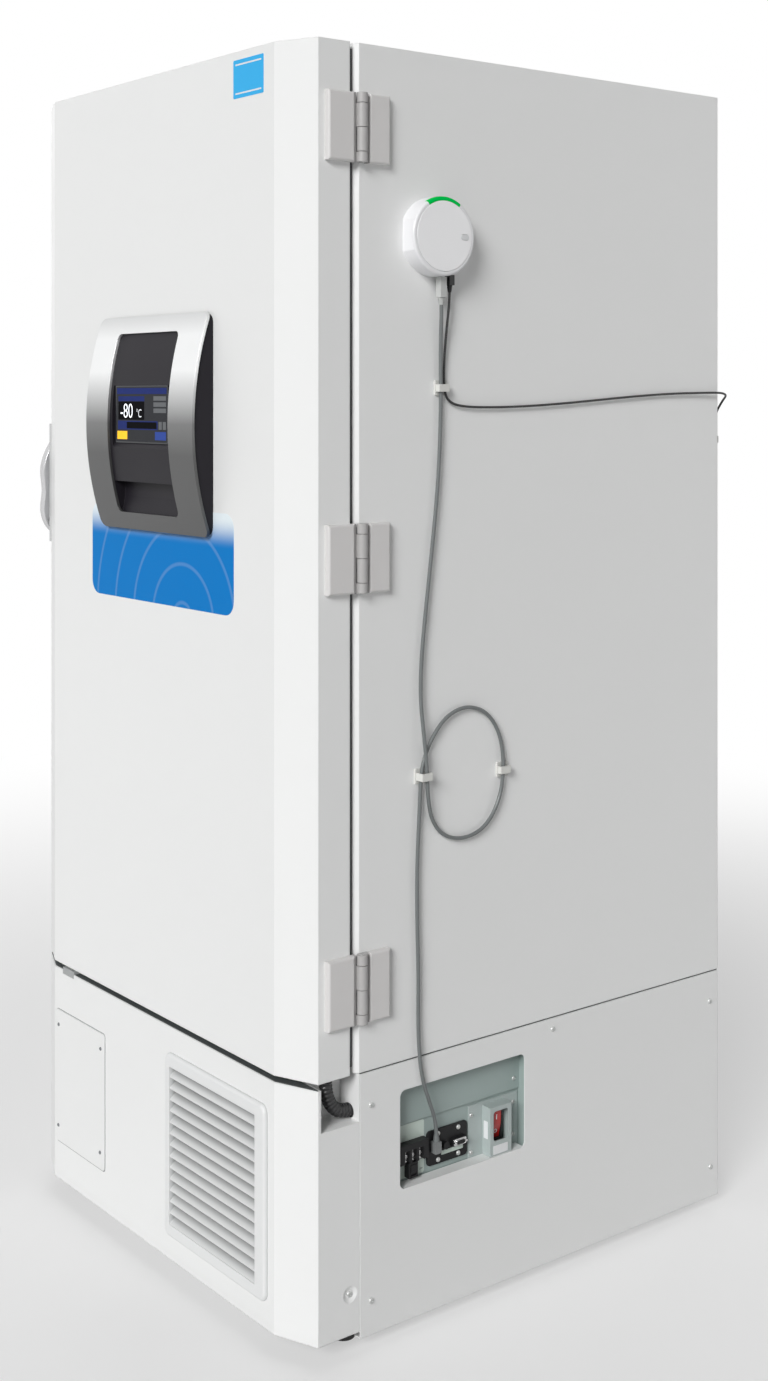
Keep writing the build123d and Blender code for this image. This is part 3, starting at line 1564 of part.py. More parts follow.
def clip(place, width, height):
    """A stick-on base with a band over the cables that run up through it."""
    base = rounded_slab(place, clip_base, clip_base, clip_wall, clip_base_sheet)
    outer = width + 2 * clip_wall
    band = extrude(place * Rectangle(outer, clip_band), amount=clip_base_sheet + height + clip_wall)
    hollow = extrude(place * Rectangle(width, clip_band), amount=clip_base_sheet + height)
    return base + (band - hollow)


def cable_clips():
    clips = []
    cable = 2 * (sensor_radius + clip_gap)
    for set_back, drop, layers in clip_places:
        place = on_side(flange_y + set_back, cable_top - drop * cable_stretch, side_x)
        clips.append(clip(place, clip_room, layers * cable))
    rear_clip_z = cable_top - rear_clip_drop * cable_stretch
    back = Plane(
        origin=(side_x - rear_clip_inset, back_y, rear_clip_z), x_dir=(-1, 0, 0), z_dir=(0, 1, 0)
    )
    clips.append(clip(back, clip_room, 2 * cable))
    save("cable_clips", *clips)


def conduit():
    """Corrugated conduit that leaves the door's lower edge and turns back into the base."""
    x = side_x - conduit_inset
    points = [
        (x, side_front_y + conduit_set_back, door_z0 - fit_gap),
        (x, side_front_y + conduit_set_back, door_z0 - conduit_drop),
        (x, side_front_y + conduit_set_back + conduit_turn, conduit_low_z - run_gap + conduit_turn),
        (x, panel_rear_y - conduit_turn, conduit_low_z),
        (x, window_front - box_rim - fit_gap, conduit_low_z),
    ]
    path = FilletPolyline(*points, radius=round_radii(points))
    ring = Plane(origin=path @ 0, z_dir=path % 0) * Circle(conduit_radius)
    save("door_conduit", sweep(ring, path=path))


cabinet_pieces()
chamber_pieces()
evaporator_and_exchanger()
hinge_pins(*inner_doors())
hinge_leaves()
door_pieces()
display_pieces()
door_catches(handle_pieces())
front_panel_pieces()
grille()
base_panels()
base_frame()
wheels_and_feet()
cable_pieces(*service_pieces())
refrigeration()
rear_spacers()
monitor()
cable_clips()
conduit()
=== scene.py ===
"""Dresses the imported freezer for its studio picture."""

import math

import bpy
from mathutils import Matrix, Vector


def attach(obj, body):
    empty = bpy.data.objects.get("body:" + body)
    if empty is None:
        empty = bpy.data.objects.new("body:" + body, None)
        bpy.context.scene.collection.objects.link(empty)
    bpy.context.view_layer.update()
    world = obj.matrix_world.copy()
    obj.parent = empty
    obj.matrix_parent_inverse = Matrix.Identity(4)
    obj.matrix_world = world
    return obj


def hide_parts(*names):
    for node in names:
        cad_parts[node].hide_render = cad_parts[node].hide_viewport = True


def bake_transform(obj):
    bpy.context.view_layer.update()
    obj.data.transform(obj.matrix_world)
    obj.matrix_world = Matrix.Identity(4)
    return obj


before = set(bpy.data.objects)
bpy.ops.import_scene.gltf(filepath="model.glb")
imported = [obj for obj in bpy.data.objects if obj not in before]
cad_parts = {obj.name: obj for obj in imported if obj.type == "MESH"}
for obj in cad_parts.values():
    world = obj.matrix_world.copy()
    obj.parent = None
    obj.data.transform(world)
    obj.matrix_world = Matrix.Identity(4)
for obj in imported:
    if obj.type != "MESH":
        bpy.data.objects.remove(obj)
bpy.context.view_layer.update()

bl_info = {
    "name": "Freezer dressing",
    "version": (1, 0, 0),
    "blender": (4, 0, 0),
    "location": "3D View > Sidebar > Freezer",
    "description": "Adds looks and small pieces to the ultra low temperature freezer",
    "category": "Object",
}

MM = 0.001


def mm(x, y, z):
    return Vector((x, y, z)) * MM


def mix(colour, factor):
    return tuple(min(1.0, c * factor) for c in colour[:3]) + (1.0,)


# Materials


class Wiring:
    """A material's node tree with short ways to add and join nodes."""

    def __init__(self, name):
        self.material = bpy.data.materials.new(name)
        self.material.use_nodes = True
        self.nodes = self.material.node_tree.nodes
        self.links = self.material.node_tree.links
        self.shader = self.nodes["Principled BSDF"]
        self.place = self.nodes.new("ShaderNodeTexCoord").outputs["Object"]

    def add(self, kind, inputs=None, **settings):
        node = self.nodes.new(kind)
        for key, value in settings.items():
            setattr(node, key, value)
        for key, value in (inputs or {}).items():
            if isinstance(value, bpy.types.NodeSocket):
                self.links.new(value, node.inputs[key])
            else:
                node.inputs[key].default_value = value
        return node

    def noise(self, scale, detail=2.0, stretch=None):
        vector = self.place
        if stretch:
            vector = self.add("ShaderNodeMapping", {"Vector": vector, "Scale": stretch}).outputs["Vector"]
        facts = {"Vector": vector, "Scale": scale, "Detail": detail}
        return self.add("ShaderNodeTexNoise", facts).outputs["Fac"]

    def blend(self, factor, first, second):
        node = self.add("ShaderNodeMix", data_type="RGBA")
        self.links.new(factor, node.inputs[0])
        for socket, value in ((node.inputs[6], first), (node.inputs[7], second)):
            if isinstance(value, bpy.types.NodeSocket):
                self.links.new(value, socket)
            else:
                socket.default_value = value
        return node.outputs[2]

    def span(self, factor, low, high):
        facts = {"Value": factor, "To Min": low, "To Max": high}
        return self.add("ShaderNodeMapRange", facts).outputs["Result"]

    def soft_grain(self, edge, grain, bump, stretch=None):
        """The normal of a surface with softened edges and a fine grain."""
        rounded = self.add("ShaderNodeBevel", {"Radius": edge * MM}, samples=4).outputs["Normal"]
        fine = self.noise(grain, 2.0, stretch)
        facts = {"Height": fine, "Strength": bump, "Distance": 0.1 * MM, "Normal": rounded}
        return self.add("ShaderNodeBump", facts).outputs["Normal"]

    def set(self, **inputs):
        for key, value in inputs.items():
            socket = self.shader.inputs[key.replace("_", " ")]
            if isinstance(value, bpy.types.NodeSocket):
                self.links.new(value, socket)
            else:
                socket.default_value = value


def surface(
    name,
    colour,
    rough,
    metal=0.0,
    vary=0.03,
    grain=700.0,
    bump=0.04,
    edge=1.0,
    coat=0.0,
    shine=0.5,
    stretch=None,
):
    """Paint, plastic or metal: slight colour drift, uneven gloss, fine grain and softened edges."""
    wiring = Wiring(name)
    drift = wiring.noise(2.5, 3.0)
    wiring.set(
        Base_Color=wiring.blend(drift, mix(colour, 1.0 - vary), mix(colour, 1.0 + vary)),
        Roughness=wiring.span(wiring.noise(9.0, 4.0), max(0.03, rough - 0.05), rough + 0.05),
        Metallic=metal,
        Specular_IOR_Level=shine,
        Coat_Weight=coat,
        Coat_Roughness=0.12,
        Normal=wiring.soft_grain(edge, grain, bump, stretch),
    )
    return wiring.material


def glowing(name, colour, strength):
    wiring = Wiring(name)
    drift = wiring.noise(60.0, 2.0)
    tone = wiring.blend(drift, mix(colour, 0.92), mix(colour, 1.05))
    wiring.set(
        Base_Color=tone,
        Emission_Color=tone,
        Emission_Strength=strength,
        Roughness=0.5,
        Specular_IOR_Level=0.02,
    )
    return wiring.material


def label_material(name, deep, pale, top, bottom, arc_x, arc_z):
    """A printed sheet that fades to pale at its top and has faint arcs across it."""
    wiring = Wiring(name)
    parts = wiring.add("ShaderNodeSeparateXYZ", {"Vector": wiring.place})
    height = wiring.add(
        "ShaderNodeMapRange",
        {"Value": parts.outputs["Z"], "From Min": bottom * MM, "From Max": top * MM},
        interpolation_type="SMOOTHSTEP",
    ).outputs["Result"]
    shifted = wiring.add("ShaderNodeMapping", {"Vector": wiring.place, "Location": mm(-arc_x, 0, -arc_z)})
    rings = wiring.add(
        "ShaderNodeTexWave",
        {"Vector": shifted.outputs["Vector"], "Scale": 5.0},
        wave_type="RINGS",
        rings_direction="Y",
    ).outputs["Fac"]
    crest = {"Value": rings, "From Min": 0.96, "From Max": 1.0, "To Max": 0.10}
    line = wiring.add("ShaderNodeMapRange", crest)
    blue = wiring.blend(line.outputs["Result"], deep, pale)
    wiring.set(Base_Color=wiring.blend(height, blue, pale), Roughness=0.5, Specular_IOR_Level=0.12)
    return wiring.material


def graded(name, tones, axis, start, end, rough=0.32, metal=0.0, tint=(1.0, 1.01, 1.01)):
    """A satin finish whose grey changes along an axis, here standing in for light and shade along the part;
    tones are pairs of a share of the way and a grey.
    """
    wiring = Wiring(name)
    parts = wiring.add("ShaderNodeSeparateXYZ", {"Vector": wiring.place})
    share = wiring.add(
        "ShaderNodeMapRange",
        {"Value": parts.outputs[axis], "From Min": start * MM, "From Max": end * MM},
    ).outputs["Result"]
    ramp = wiring.add("ShaderNodeValToRGB", {"Fac": share})
    stops = ramp.color_ramp.elements
    while len(stops) < len(tones):
        stops.new(1.0)
    for stop, (place, grey) in zip(stops, tones):
        stop.position = place
        stop.color = (*(grey * part for part in tint), 1.0)
    wiring.set(
        Base_Color=ramp.outputs["Color"],
        Roughness=wiring.span(wiring.noise(9.0, 4.0), rough - 0.04, rough + 0.04),
        Metallic=metal,
        Normal=wiring.soft_grain(edge=1.2, grain=900.0, bump=0.04),
    )
    return wiring.material


def plug_plastic(name, pale, dark, grey, split_y, split_z, low_z):
    """Plastic of the plugs: dark behind and above two limits, grey below a third and pale elsewhere."""
    wiring = Wiring(name)
    parts = wiring.add("ShaderNodeSeparateXYZ", {"Vector": wiring.place})
    behind = wiring.add("ShaderNodeMath", {0: parts.outputs["Y"], 1: split_y * MM}, operation="GREATER_THAN")
    above = wiring.add("ShaderNodeMath", {0: parts.outputs["Z"], 1: split_z * MM}, operation="GREATER_THAN")
    both = wiring.add("ShaderNodeMath", {0: behind.outputs[0], 1: above.outputs[0]}, operation="MULTIPLY")
    uneven = wiring.blend(wiring.noise(120.0, 2.0), mix(pale, 0.94), mix(pale, 1.04))
    below = wiring.add("ShaderNodeMath", {0: parts.outputs["Z"], 1: low_z * MM}, operation="LESS_THAN")
    upper = wiring.blend(both.outputs[0], uneven, dark)
    wiring.set(Base_Color=wiring.blend(below.outputs[0], upper, grey), Roughness=0.4)
    return wiring.material


def seen_rays(nodes, links):
    """One for rays whose end the viewer sees: straight, mirrored or through glass."""
    path = nodes.new("ShaderNodeLightPath")
    value = path.outputs["Is Camera Ray"]
    for other in ("Is Glossy Ray", "Is Transmission Ray"):
        either = nodes.new("ShaderNodeMath")
        either.operation = "MAXIMUM"
        links.new(value, either.inputs[0])
        links.new(path.outputs[other], either.inputs[1])
        value = either.outputs[0]
    return value


def floor_material(name, colour, lift, near, far):
    """A pale floor that keeps the shadow near the object and fades to white far away."""
    wiring = Wiring(name)
    tone = wiring.blend(wiring.noise(0.6, 2.0), mix(colour, 0.99), mix(colour, 1.01))
    wiring.set(Base_Color=tone, Roughness=0.9)
    away = wiring.add("ShaderNodeVectorMath", {0: wiring.place}, operation="LENGTH").outputs["Value"]
    fade = wiring.add(
        "ShaderNodeMapRange",
        {"Value": away, "From Min": near, "From Max": far, "To Min": lift, "To Max": 1.0},
        interpolation_type="SMOOTHSTEP",
    ).outputs["Result"]
    seen = seen_rays(wiring.nodes, wiring.links)
    share = wiring.add("ShaderNodeMath", {0: fade, 1: seen}, operation="MULTIPLY").outputs[0]
    white = wiring.add("ShaderNodeEmission", {"Color": (1, 1, 1, 1), "Strength": 1.0}).outputs["Emission"]
    both = wiring.add("ShaderNodeMixShader", {0: share, 1: wiring.shader.outputs["BSDF"], 2: white})
    wiring.links.new(both.outputs["Shader"], wiring.nodes["Material Output"].inputs["Surface"])
    return wiring.material


MATERIALS = {}
TONES = {
    # Painted light on the bezel: a painted highlight and reflection across its upper bend, painted shade
    # down its lower part and at its top edge.
    "bezel_painted_light": [
        (0.0, 0.10), (0.36, 0.11), (0.50, 0.20), (0.62, 0.55), (0.74, 0.92), (0.90, 0.90), (1.0, 0.66),
    ],
    # Painted shade in the grille: pale at the louvre lips, darker with depth behind them, where the blades
    # shade each other.
    "grille_painted_shade": [(0.0, 0.77), (0.25, 0.66), (0.7, 0.30), (1.0, 0.20)],
    # The darker band over the hinge knuckles is partly the knuckles' duller metal and partly painted shade
    # of the knuckle column.
    "hinge": [(0.0, 0.67), (0.415, 0.67), (0.425, 0.43), (0.655, 0.43), (0.665, 0.67), (1.0, 0.67)],
}


def material(name):
    return MATERIALS[name]


def make_materials(colours):
    white = tuple(colours.paint)
    make = {
        "paint": dict(colour=white, rough=0.38, vary=0.008, grain=420.0, bump=0.03, edge=2.2),
        "panel_paint": dict(
            colour=mix(white, 0.98), rough=0.42, vary=0.008, grain=420.0, bump=0.03, edge=1.2
        ),
        "foam": dict(colour=(0.80, 0.70, 0.42), rough=0.9, vary=0.12, grain=260.0, bump=0.5),
        "strip": dict(colour=(0.76, 0.77, 0.76), rough=0.5, edge=1.5),
        "steel": dict(
            colour=(0.58, 0.59, 0.60), rough=0.34, metal=1.0, grain=60.0, bump=0.1, stretch=(1.0, 60.0, 1.0)
        ),
        "copper": dict(colour=(0.72, 0.36, 0.20), rough=0.28, metal=1.0, vary=0.1),
        "inner_white": dict(colour=(0.80, 0.81, 0.81), rough=0.4, vary=0.02, edge=2.0),
        "pin": dict(colour=(0.62, 0.62, 0.62), rough=0.22, metal=1.0),
        "gasket": dict(colour=(0.075, 0.077, 0.08), rough=0.62, vary=0.1),
        "housing": dict(
            colour=(0.0135, 0.0120, 0.0160), rough=0.45, vary=0.1, grain=900.0, bump=0.1, edge=1.2, shine=0.2
        ),
        "screen": dict(colour=(0.010, 0.012, 0.018), rough=0.12, vary=0.1, bump=0.0),
        "handle": dict(colour=(0.56, 0.57, 0.57), rough=0.30, metal=0.3, vary=0.02, edge=2.5),
        "lever": dict(colour=(0.60, 0.60, 0.61), rough=0.26, metal=0.6, vary=0.02, edge=2.5),
        "chrome": dict(colour=(0.78, 0.78, 0.78), rough=0.12, metal=1.0),
        "catch": dict(colour=(0.36, 0.37, 0.37), rough=0.5, edge=1.0),
        "mesh": dict(colour=(0.10, 0.105, 0.105), rough=0.8, vary=0.3, grain=300.0, bump=0.6),
        "recess": dict(colour=(0.33, 0.40, 0.385), rough=0.42, vary=0.04, edge=1.0),
        "guard": dict(colour=(0.42, 0.475, 0.465), rough=0.38, vary=0.04, edge=1.0),
        "black": dict(colour=(0.010, 0.010, 0.011), rough=0.4, vary=0.15, edge=0.6, shine=0.25),
        "alarm_plate": dict(colour=(0.60, 0.69, 0.63), rough=0.45, vary=0.03, edge=0.3),
        "red": dict(colour=(0.46, 0.012, 0.010), rough=0.28, vary=0.1, edge=0.6, coat=0.3),
        "compressor": dict(colour=(0.02, 0.02, 0.02), rough=0.4, vary=0.2),
        "fins": dict(colour=(0.70, 0.71, 0.72), rough=0.35, metal=1.0),
        "motor": dict(colour=(0.20, 0.21, 0.22), rough=0.5, vary=0.1),
        "fan": dict(colour=(0.03, 0.03, 0.03), rough=0.6, vary=0.2),
        "zinc": dict(colour=(0.50, 0.51, 0.50), rough=0.42, metal=1.0, vary=0.15, grain=40.0, bump=0.1),
        "tyre": dict(colour=(0.04, 0.04, 0.04), rough=0.7, vary=0.2),
        "monitor": dict(colour=(0.82, 0.82, 0.835), rough=0.34, vary=0.015, edge=1.0),
        "button": dict(colour=(0.70, 0.71, 0.72), rough=0.34, vary=0.015, edge=0.6),
        # Near-black strips for the base seams: painted shade where the seams lie in shadow.
        "painted_seam_shade": dict(colour=(0.060, 0.068, 0.068), rough=0.7, vary=0.2, edge=0.4),
        "monitor_cover": dict(colour=(0.93, 0.93, 0.94), rough=0.25, vary=0.01, edge=1.0, coat=0.6),
        "cable": dict(colour=(0.15, 0.162, 0.163), rough=0.30, vary=0.08, edge=0.2),
        "lead": dict(colour=(0.012, 0.012, 0.013), rough=0.42, vary=0.2, edge=0.2),
        "clip": dict(colour=(0.68, 0.68, 0.65), rough=0.4, vary=0.02, edge=0.8),
        "conduit": dict(colour=(0.020, 0.020, 0.021), rough=0.30, vary=0.3, edge=0.3),
        "boot": dict(colour=(0.44, 0.45, 0.44), rough=0.45, vary=0.04, edge=0.3),
        "print_white": dict(colour=(0.78, 0.79, 0.80), rough=0.4, vary=0.02, edge=0.1),
        "screw": dict(colour=(0.60, 0.61, 0.60), rough=0.30, metal=0.6, vary=0.1, edge=0.4),
        "sky": dict(colour=tuple(colours.sticker), rough=0.3, vary=0.03, edge=0.1),
    }
    for name, facts in make.items():
        MATERIALS[name] = surface("freezer_" + name, **facts)
    MATERIALS["light"] = glowing("freezer_light", tuple(colours.light), 0.35)
    for name, colour, strength in (
        ("ui_blue", (0.020, 0.030, 0.125), 0.35),
        ("ui_black", (0.003, 0.003, 0.004), 0.2),
        ("ui_grey", (0.030, 0.031, 0.034), 0.5),
        ("ui_box", (0.10, 0.105, 0.11), 0.6),
        ("ui_white", (0.85, 0.88, 0.92), 0.9),
        ("ui_yellow", (0.80, 0.42, 0.03), 0.8),
        ("ui_button", (0.030, 0.055, 0.22), 0.6),
    ):
        MATERIALS[name] = glowing("freezer_" + name, colour, strength)
    MATERIALS["plug"] = plug_plastic(
        "freezer_plug",
        pale=(0.50, 0.51, 0.50, 1.0),
        dark=(0.014, 0.014, 0.015, 1.0),
        grey=(0.20, 0.21, 0.21, 1.0),
        split_y=-191.0,
        split_z=1600.0,
        low_z=600.0,
    )
    # These greys paint light and shade along the bezel, the grille and the hinge knuckles (the hinge band
    # partly its own metal).
    for name, axis, start, end, facts in (
        ("bezel_painted_light", "Z", 1228.5, 1587.5, dict(metal=0.55)),
        ("grille_painted_shade", "Y", -463.6, -448.5, dict(rough=0.42)),
        ("hinge", "Y", -416.0, -298.0, dict(rough=0.40, tint=(1.01, 0.99, 0.98))),
    ):
        MATERIALS[name] = graded("freezer_" + name, TONES[name], axis, start, end, **facts)
    MATERIALS["label"] = label_material(
        "freezer_label",
        deep=tuple(colours.label) + (1.0,),
        pale=(0.80, 0.88, 0.92, 1.0),
        top=1262.0,
        bottom=1212.0,
        arc_x=90.0,
        arc_z=1085.0,
    )


# Modelling helpers


def deselect():
    if bpy.context.object and bpy.context.object.mode != "OBJECT":
        bpy.ops.object.mode_set(mode="OBJECT")
    bpy.ops.object.select_all(action="DESELECT")


def activate(obj):
    deselect()
    obj.select_set(True)
    bpy.context.view_layer.objects.active = obj
    return obj


def settle(obj, name=None):
    """Puts an object's place, turn and size into its mesh."""
    activate(obj)
    bpy.ops.object.transform_apply(location=True, rotation=True, scale=True)
    if name:
        obj.name = name
        obj.data.name = name
    return obj


def cube(name, low, high):
    deselect()
    low, high = mm(*low), mm(*high)
    bpy.ops.mesh.primitive_cube_add(size=1, location=(low + high) / 2)
    obj = bpy.context.object
    obj.scale = high - low
    return settle(obj, name)


def drum(name, start, end, radius, sides=48):
    deselect()
    start, end = mm(*start), mm(*end)
    turn = (end - start).to_track_quat("Z", "Y").to_euler()
    bpy.ops.mesh.primitive_cylinder_add(
        vertices=sides,
        radius=radius * MM,
        depth=(end - start).length,
        location=(start + end) / 2,
        rotation=turn,
    )
    return settle(bpy.context.object, name)


def boot(name, start, end, wide, narrow):
    """A tapered strain relief with grip rings, from a plug's face along its cable."""
    sides, ring_places, ring_radius = 40, (0.3, 0.5, 0.7), 0.45
    deselect()
    start, end = mm(*start), mm(*end)
    turn = (end - start).to_track_quat("Z", "Y").to_euler()
    bpy.ops.mesh.primitive_cone_add(
        vertices=sides,
        radius1=wide * MM,
        radius2=narrow * MM,
        depth=(end - start).length,
        location=(start + end) / 2,
        rotation=turn,
    )
    taper = settle(bpy.context.object, name)
    for share in ring_places:
        middle = start + share * (end - start)
        bpy.ops.mesh.primitive_torus_add(
            location=middle,
            rotation=turn,
            major_radius=(wide + share * (narrow - wide)) * MM,
            minor_radius=ring_radius * MM,
            major_segments=sides,
            minor_segments=8,
        )
        taper = join(name, taper, settle(bpy.context.object))
    return taper


def flat_text(body, size, depth, thin=0.0):
    """Thin raised lettering as a mesh at the origin, thinned by an offset of its outline."""
    deselect()
    bpy.ops.object.text_add()
    text = bpy.context.object
    text.data.body = body
    text.data.size = size * MM
    text.data.extrude = depth * MM
    text.data.offset = -thin * MM
    bpy.ops.object.convert(target="MESH")
    return bpy.context.object


def edit(obj, kind, test):
    """Enters edit mode with those faces, edges or vertices selected that pass a test."""
    activate(obj)
    bpy.ops.object.mode_set(mode="EDIT")
    bpy.ops.mesh.select_mode(type=kind)
    bpy.ops.mesh.select_all(action="DESELECT")
    bpy.ops.object.mode_set(mode="OBJECT")
    mesh = obj.data
    items = {"FACE": mesh.polygons, "EDGE": mesh.edges, "VERT": mesh.vertices}[kind]
    for item in items:
        item.select = test(item)
    bpy.ops.object.mode_set(mode="EDIT")


def leave():
    bpy.ops.object.mode_set(mode="OBJECT")


def add_modifier(obj, kind, **settings):
    activate(obj)
    modifier = obj.modifiers.new(kind.title(), kind)
    for key, value in settings.items():
        setattr(modifier, key, value)
    bpy.ops.object.modifier_apply(modifier=modifier.name)
    return obj


def cut(obj, *tools, operation="DIFFERENCE"):
    for tool in tools:
        add_modifier(obj, "BOOLEAN", operation=operation, object=tool, solver="EXACT")
        bpy.data.objects.remove(tool, do_unlink=True)
    return obj


def join(name, *objs):
    deselect()
    for obj in objs:
        obj.select_set(True)
    bpy.context.view_layer.objects.active = objs[0]
    if len(objs) > 1:
        bpy.ops.object.join()
    objs[0].name = name
    objs[0].data.name = name
    return objs[0]


def rounded_plate(name, low, high, corner, axis, segments=6):
    """A flat plate whose four edges along one axis are rounded."""
    obj = cube(name, low, high)

    def along(edge):
        a, b = (obj.data.vertices[i].co for i in edge.vertices)
        way = (b - a).normalized()
        return abs(way[axis]) > 0.99

    edit(obj, "EDGE", along)
    bpy.ops.mesh.bevel(offset=corner * MM, segments=segments)
    leave()
    return obj


def finish(obj, look, body, slot, *nodes, angle=35.0):
    activate(obj)
    bpy.ops.object.shade_smooth_by_angle(angle=math.radians(angle))
    obj.data.materials.clear()
    obj.data.materials.append(material(look))
    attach(obj, body)
    if nodes:
        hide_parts(*nodes)
    return obj


def cable_curve(name, points, radius):
    """A smooth round cable whose line is pulled along by the route's points."""
    curve = bpy.data.curves.new(name, "CURVE")
    curve.dimensions = "3D"
    spline = curve.splines.new("NURBS")
    spline.points.add(len(points) - 1)
    for point, place in zip(spline.points, points):
        point.co = (*mm(*place), 1.0)
    spline.order_u = 3
    spline.use_endpoint_u = True
    spline.resolution_u = 8
    curve.bevel_depth = radius * MM
    curve.bevel_resolution = 5
    curve.use_fill_caps = True
    obj = bpy.data.objects.new(name, curve)
    bpy.context.scene.collection.objects.link(obj)
    return obj


def line_points(points):
    """The points along a route's smooth line, in millimetres."""
    obj = cable_curve("route_probe", points, 0.0)
    mesh = bpy.data.meshes.new_from_object(obj)
    found = [tuple(v.co / MM) for v in mesh.vertices]
    bpy.data.objects.remove(obj, do_unlink=True)
    return found


def length_of(points):
    return sum((Vector(b) - Vector(a)).length for a, b in zip(points, points[1:])) * MM


# Settings that a user may change


class FreezerSizes(bpy.types.PropertyGroup):
    """Sizes of the small pieces"""

    screw_radius: bpy.props.FloatProperty(
        name="Screw radius", description="Radius of a panel screw's head, in mm", default=4.6, min=1.0
    )
    sensor_radius: bpy.props.FloatProperty(
        name="Sensor cable radius", description="Radius of the grey cable, in mm", default=3.1, min=0.5
    )
    lead_radius: bpy.props.FloatProperty(
        name="Power lead radius", description="Radius of the black lead, in mm", default=2.0, min=0.5
    )
    rib_pitch: bpy.props.FloatProperty(
        name="Rib pitch", description="Pitch of the conduit's ribs, in mm", default=6.2, min=1.0
    )
    key_strength: bpy.props.FloatProperty(
        name="Key light", description="Strength of the key light", default=2.65, min=0.0
    )
    fill_strength: bpy.props.FloatProperty(
        name="Fill light", description="Strength of the light from behind on the left", default=0.8, min=0.0
    )
    sky_strength: bpy.props.FloatProperty(
        name="Sky strength", description="Strength of the even light", default=0.12, min=0.0
    )


class FreezerColours(bpy.types.PropertyGroup):
    """Colours of the main finishes"""

    paint: bpy.props.FloatVectorProperty(
        name="Paint", description="Cabinet paint", subtype="COLOR", default=(0.83, 0.835, 0.83)
    )
    label: bpy.props.FloatVectorProperty(
        name="Label", description="Blue door label", subtype="COLOR", default=(0.0, 0.19, 0.56)
    )
    sticker: bpy.props.FloatVectorProperty(
        name="Sticker", description="Sky-blue sticker", subtype="COLOR", default=(0.0, 0.42, 0.84)
    )
    light: bpy.props.FloatVectorProperty(
        name="Status light", description="Light of the monitor", subtype="COLOR", default=(0.0, 0.40, 0.06)
    )


def sizes():
    return bpy.context.scene.freezer_sizes


def colours():
    return bpy.context.scene.freezer_colours


# Operators

NODE_LOOKS = {
    "cabinet_shell": "paint",
    "door_skin": "paint",
    "front_panel": "paint",
    "recorder_cover_plate": "panel_paint",
    "right_side_panel": "panel_paint",
    "left_side_panel": "panel_paint",
    "rear_panel": "panel_paint",
    "rear_spacers": "panel_paint",
    "cabinet_foam": "foam",
    "door_foam": "foam",
    "breaker_strips": "strip",
    "inner_liner": "steel",
    "evaporator_and_exchanger": "copper",
    "shelf_rack": "steel",
    "base_frame": "zinc",
    "front_grille": "grille_painted_shade",
    "dust_filter": "mesh",
    "control_box": "recess",
    "connector_plate": "black",
    "alarm_terminal_block": "black",
    "breaker_guard": "guard",
    "switch_bodies": "black",
    "compressors": "compressor",
    "condenser": "fins",
    "fan_motor": "motor",
    "fan": "fan",
    "cabinet_hinge_leaves": "hinge",
    "door_hinge_leaves": "hinge",
    "hinge_pins": "pin",
    "monitor_housing": "monitor",
    "monitor_cover": "monitor_cover",
    "monitor_button": "button",
    "cable_clips": "clip",
    "cable_plugs": "plug",
    "power_adaptor": "lead",
    "door_catches": "catch",
    "door_liner": "inner_white",
    "door_gasket": "gasket",
    "display_housing": "housing",
    "display_bezel": "bezel_painted_light",
    "display_screen": "screen",
    "handle_mount": "handle",
    "handle_lever": "lever",
    "key_lock": "chrome",
    "inner_door_upper": "inner_white",
    "inner_door_lower": "inner_white",
    "breaker_rocker": "red",
    "battery_rocker": "black",
    "caster_fork_left": "zinc",
    "caster_fork_right": "zinc",
    "front_wheel_left": "tyre",
    "front_wheel_right": "tyre",
    "rear_wheel_left": "tyre",
    "rear_wheel_right": "tyre",
    "levelling_foot_left": "tyre",
    "levelling_foot_right": "tyre",
    "sensor_cable": "cable",
    "power_lead": "lead",
    "power_lead_coil": "lead",
    "door_conduit": "conduit",
}


SOFT_EDGES = {"door_gasket": 4.0, "inner_door_upper": 4.0, "inner_door_lower": 4.0}


class FREEZER_OT_finishes(bpy.types.Operator):
    """Gives every CAD piece its finish"""

    bl_idname = "freezer.finishes"
    bl_label = "Finishes"

    def execute(self, context):
        make_materials(colours())
        for node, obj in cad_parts.items():
            obj.data.materials.clear()
            obj.data.materials.append(material(NODE_LOOKS[node]))
        for node, width in SOFT_EDGES.items():
            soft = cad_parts[node].modifiers.new("Soft edges", "BEVEL")
            soft.width = width * MM
            soft.segments = 4
            soft.limit_method = "ANGLE"
        return {"FINISHED"}


SENSOR_ROUTE = [
    (439.0, -200.0, 1607.8), (439.0, -200.0, 1595.8), (438.0, -199.0, 1575.0), (433.0, -196.5, 1535.0),
    (431.5, -195.0, 1480.0), (431.5, -195.0, 1442.0), (431.5, -196.0, 1390.0), (431.5, -201.0, 1310.0),
    (431.5, -212.0, 1220.0), (431.5, -224.0, 1130.0), (431.5, -234.0, 1050.0), (432.5, -237.5, 985.0),
    (437.1, -235.0, 935.0), (438.1, -230.5, 895.0), (438.1, -228.0, 861.0), (436.6, -225.0, 825.0),
    (432.5, -214.0, 788.0), (431.5, -188.0, 760.0), (431.5, -146.0, 750.0), (431.5, -102.0, 762.0),
    (431.5, -72.0, 800.0), (431.5, -62.0, 850.0), (431.5, -68.0, 904.0), (431.5, -96.0, 946.0),
    (431.5, -140.0, 962.0), (431.5, -184.0, 950.0), (431.5, -214.0, 918.0), (431.5, -231.0, 884.0),
    (431.5, -236.0, 850.0), (431.5, -238.5, 800.0), (431.5, -243.0, 725.0), (431.5, -243.0, 640.0),
    (431.5, -240.0, 555.0), (431.5, -241.0, 480.0), (432.5, -239.0, 425.0), (432.5, -232.0, 385.0),
    (425.0, -213.0, 348.0), (416.0, -195.0, 316.0), (410.0, -186.2, 291.5), (410.0, -186.2, 273.5),
]


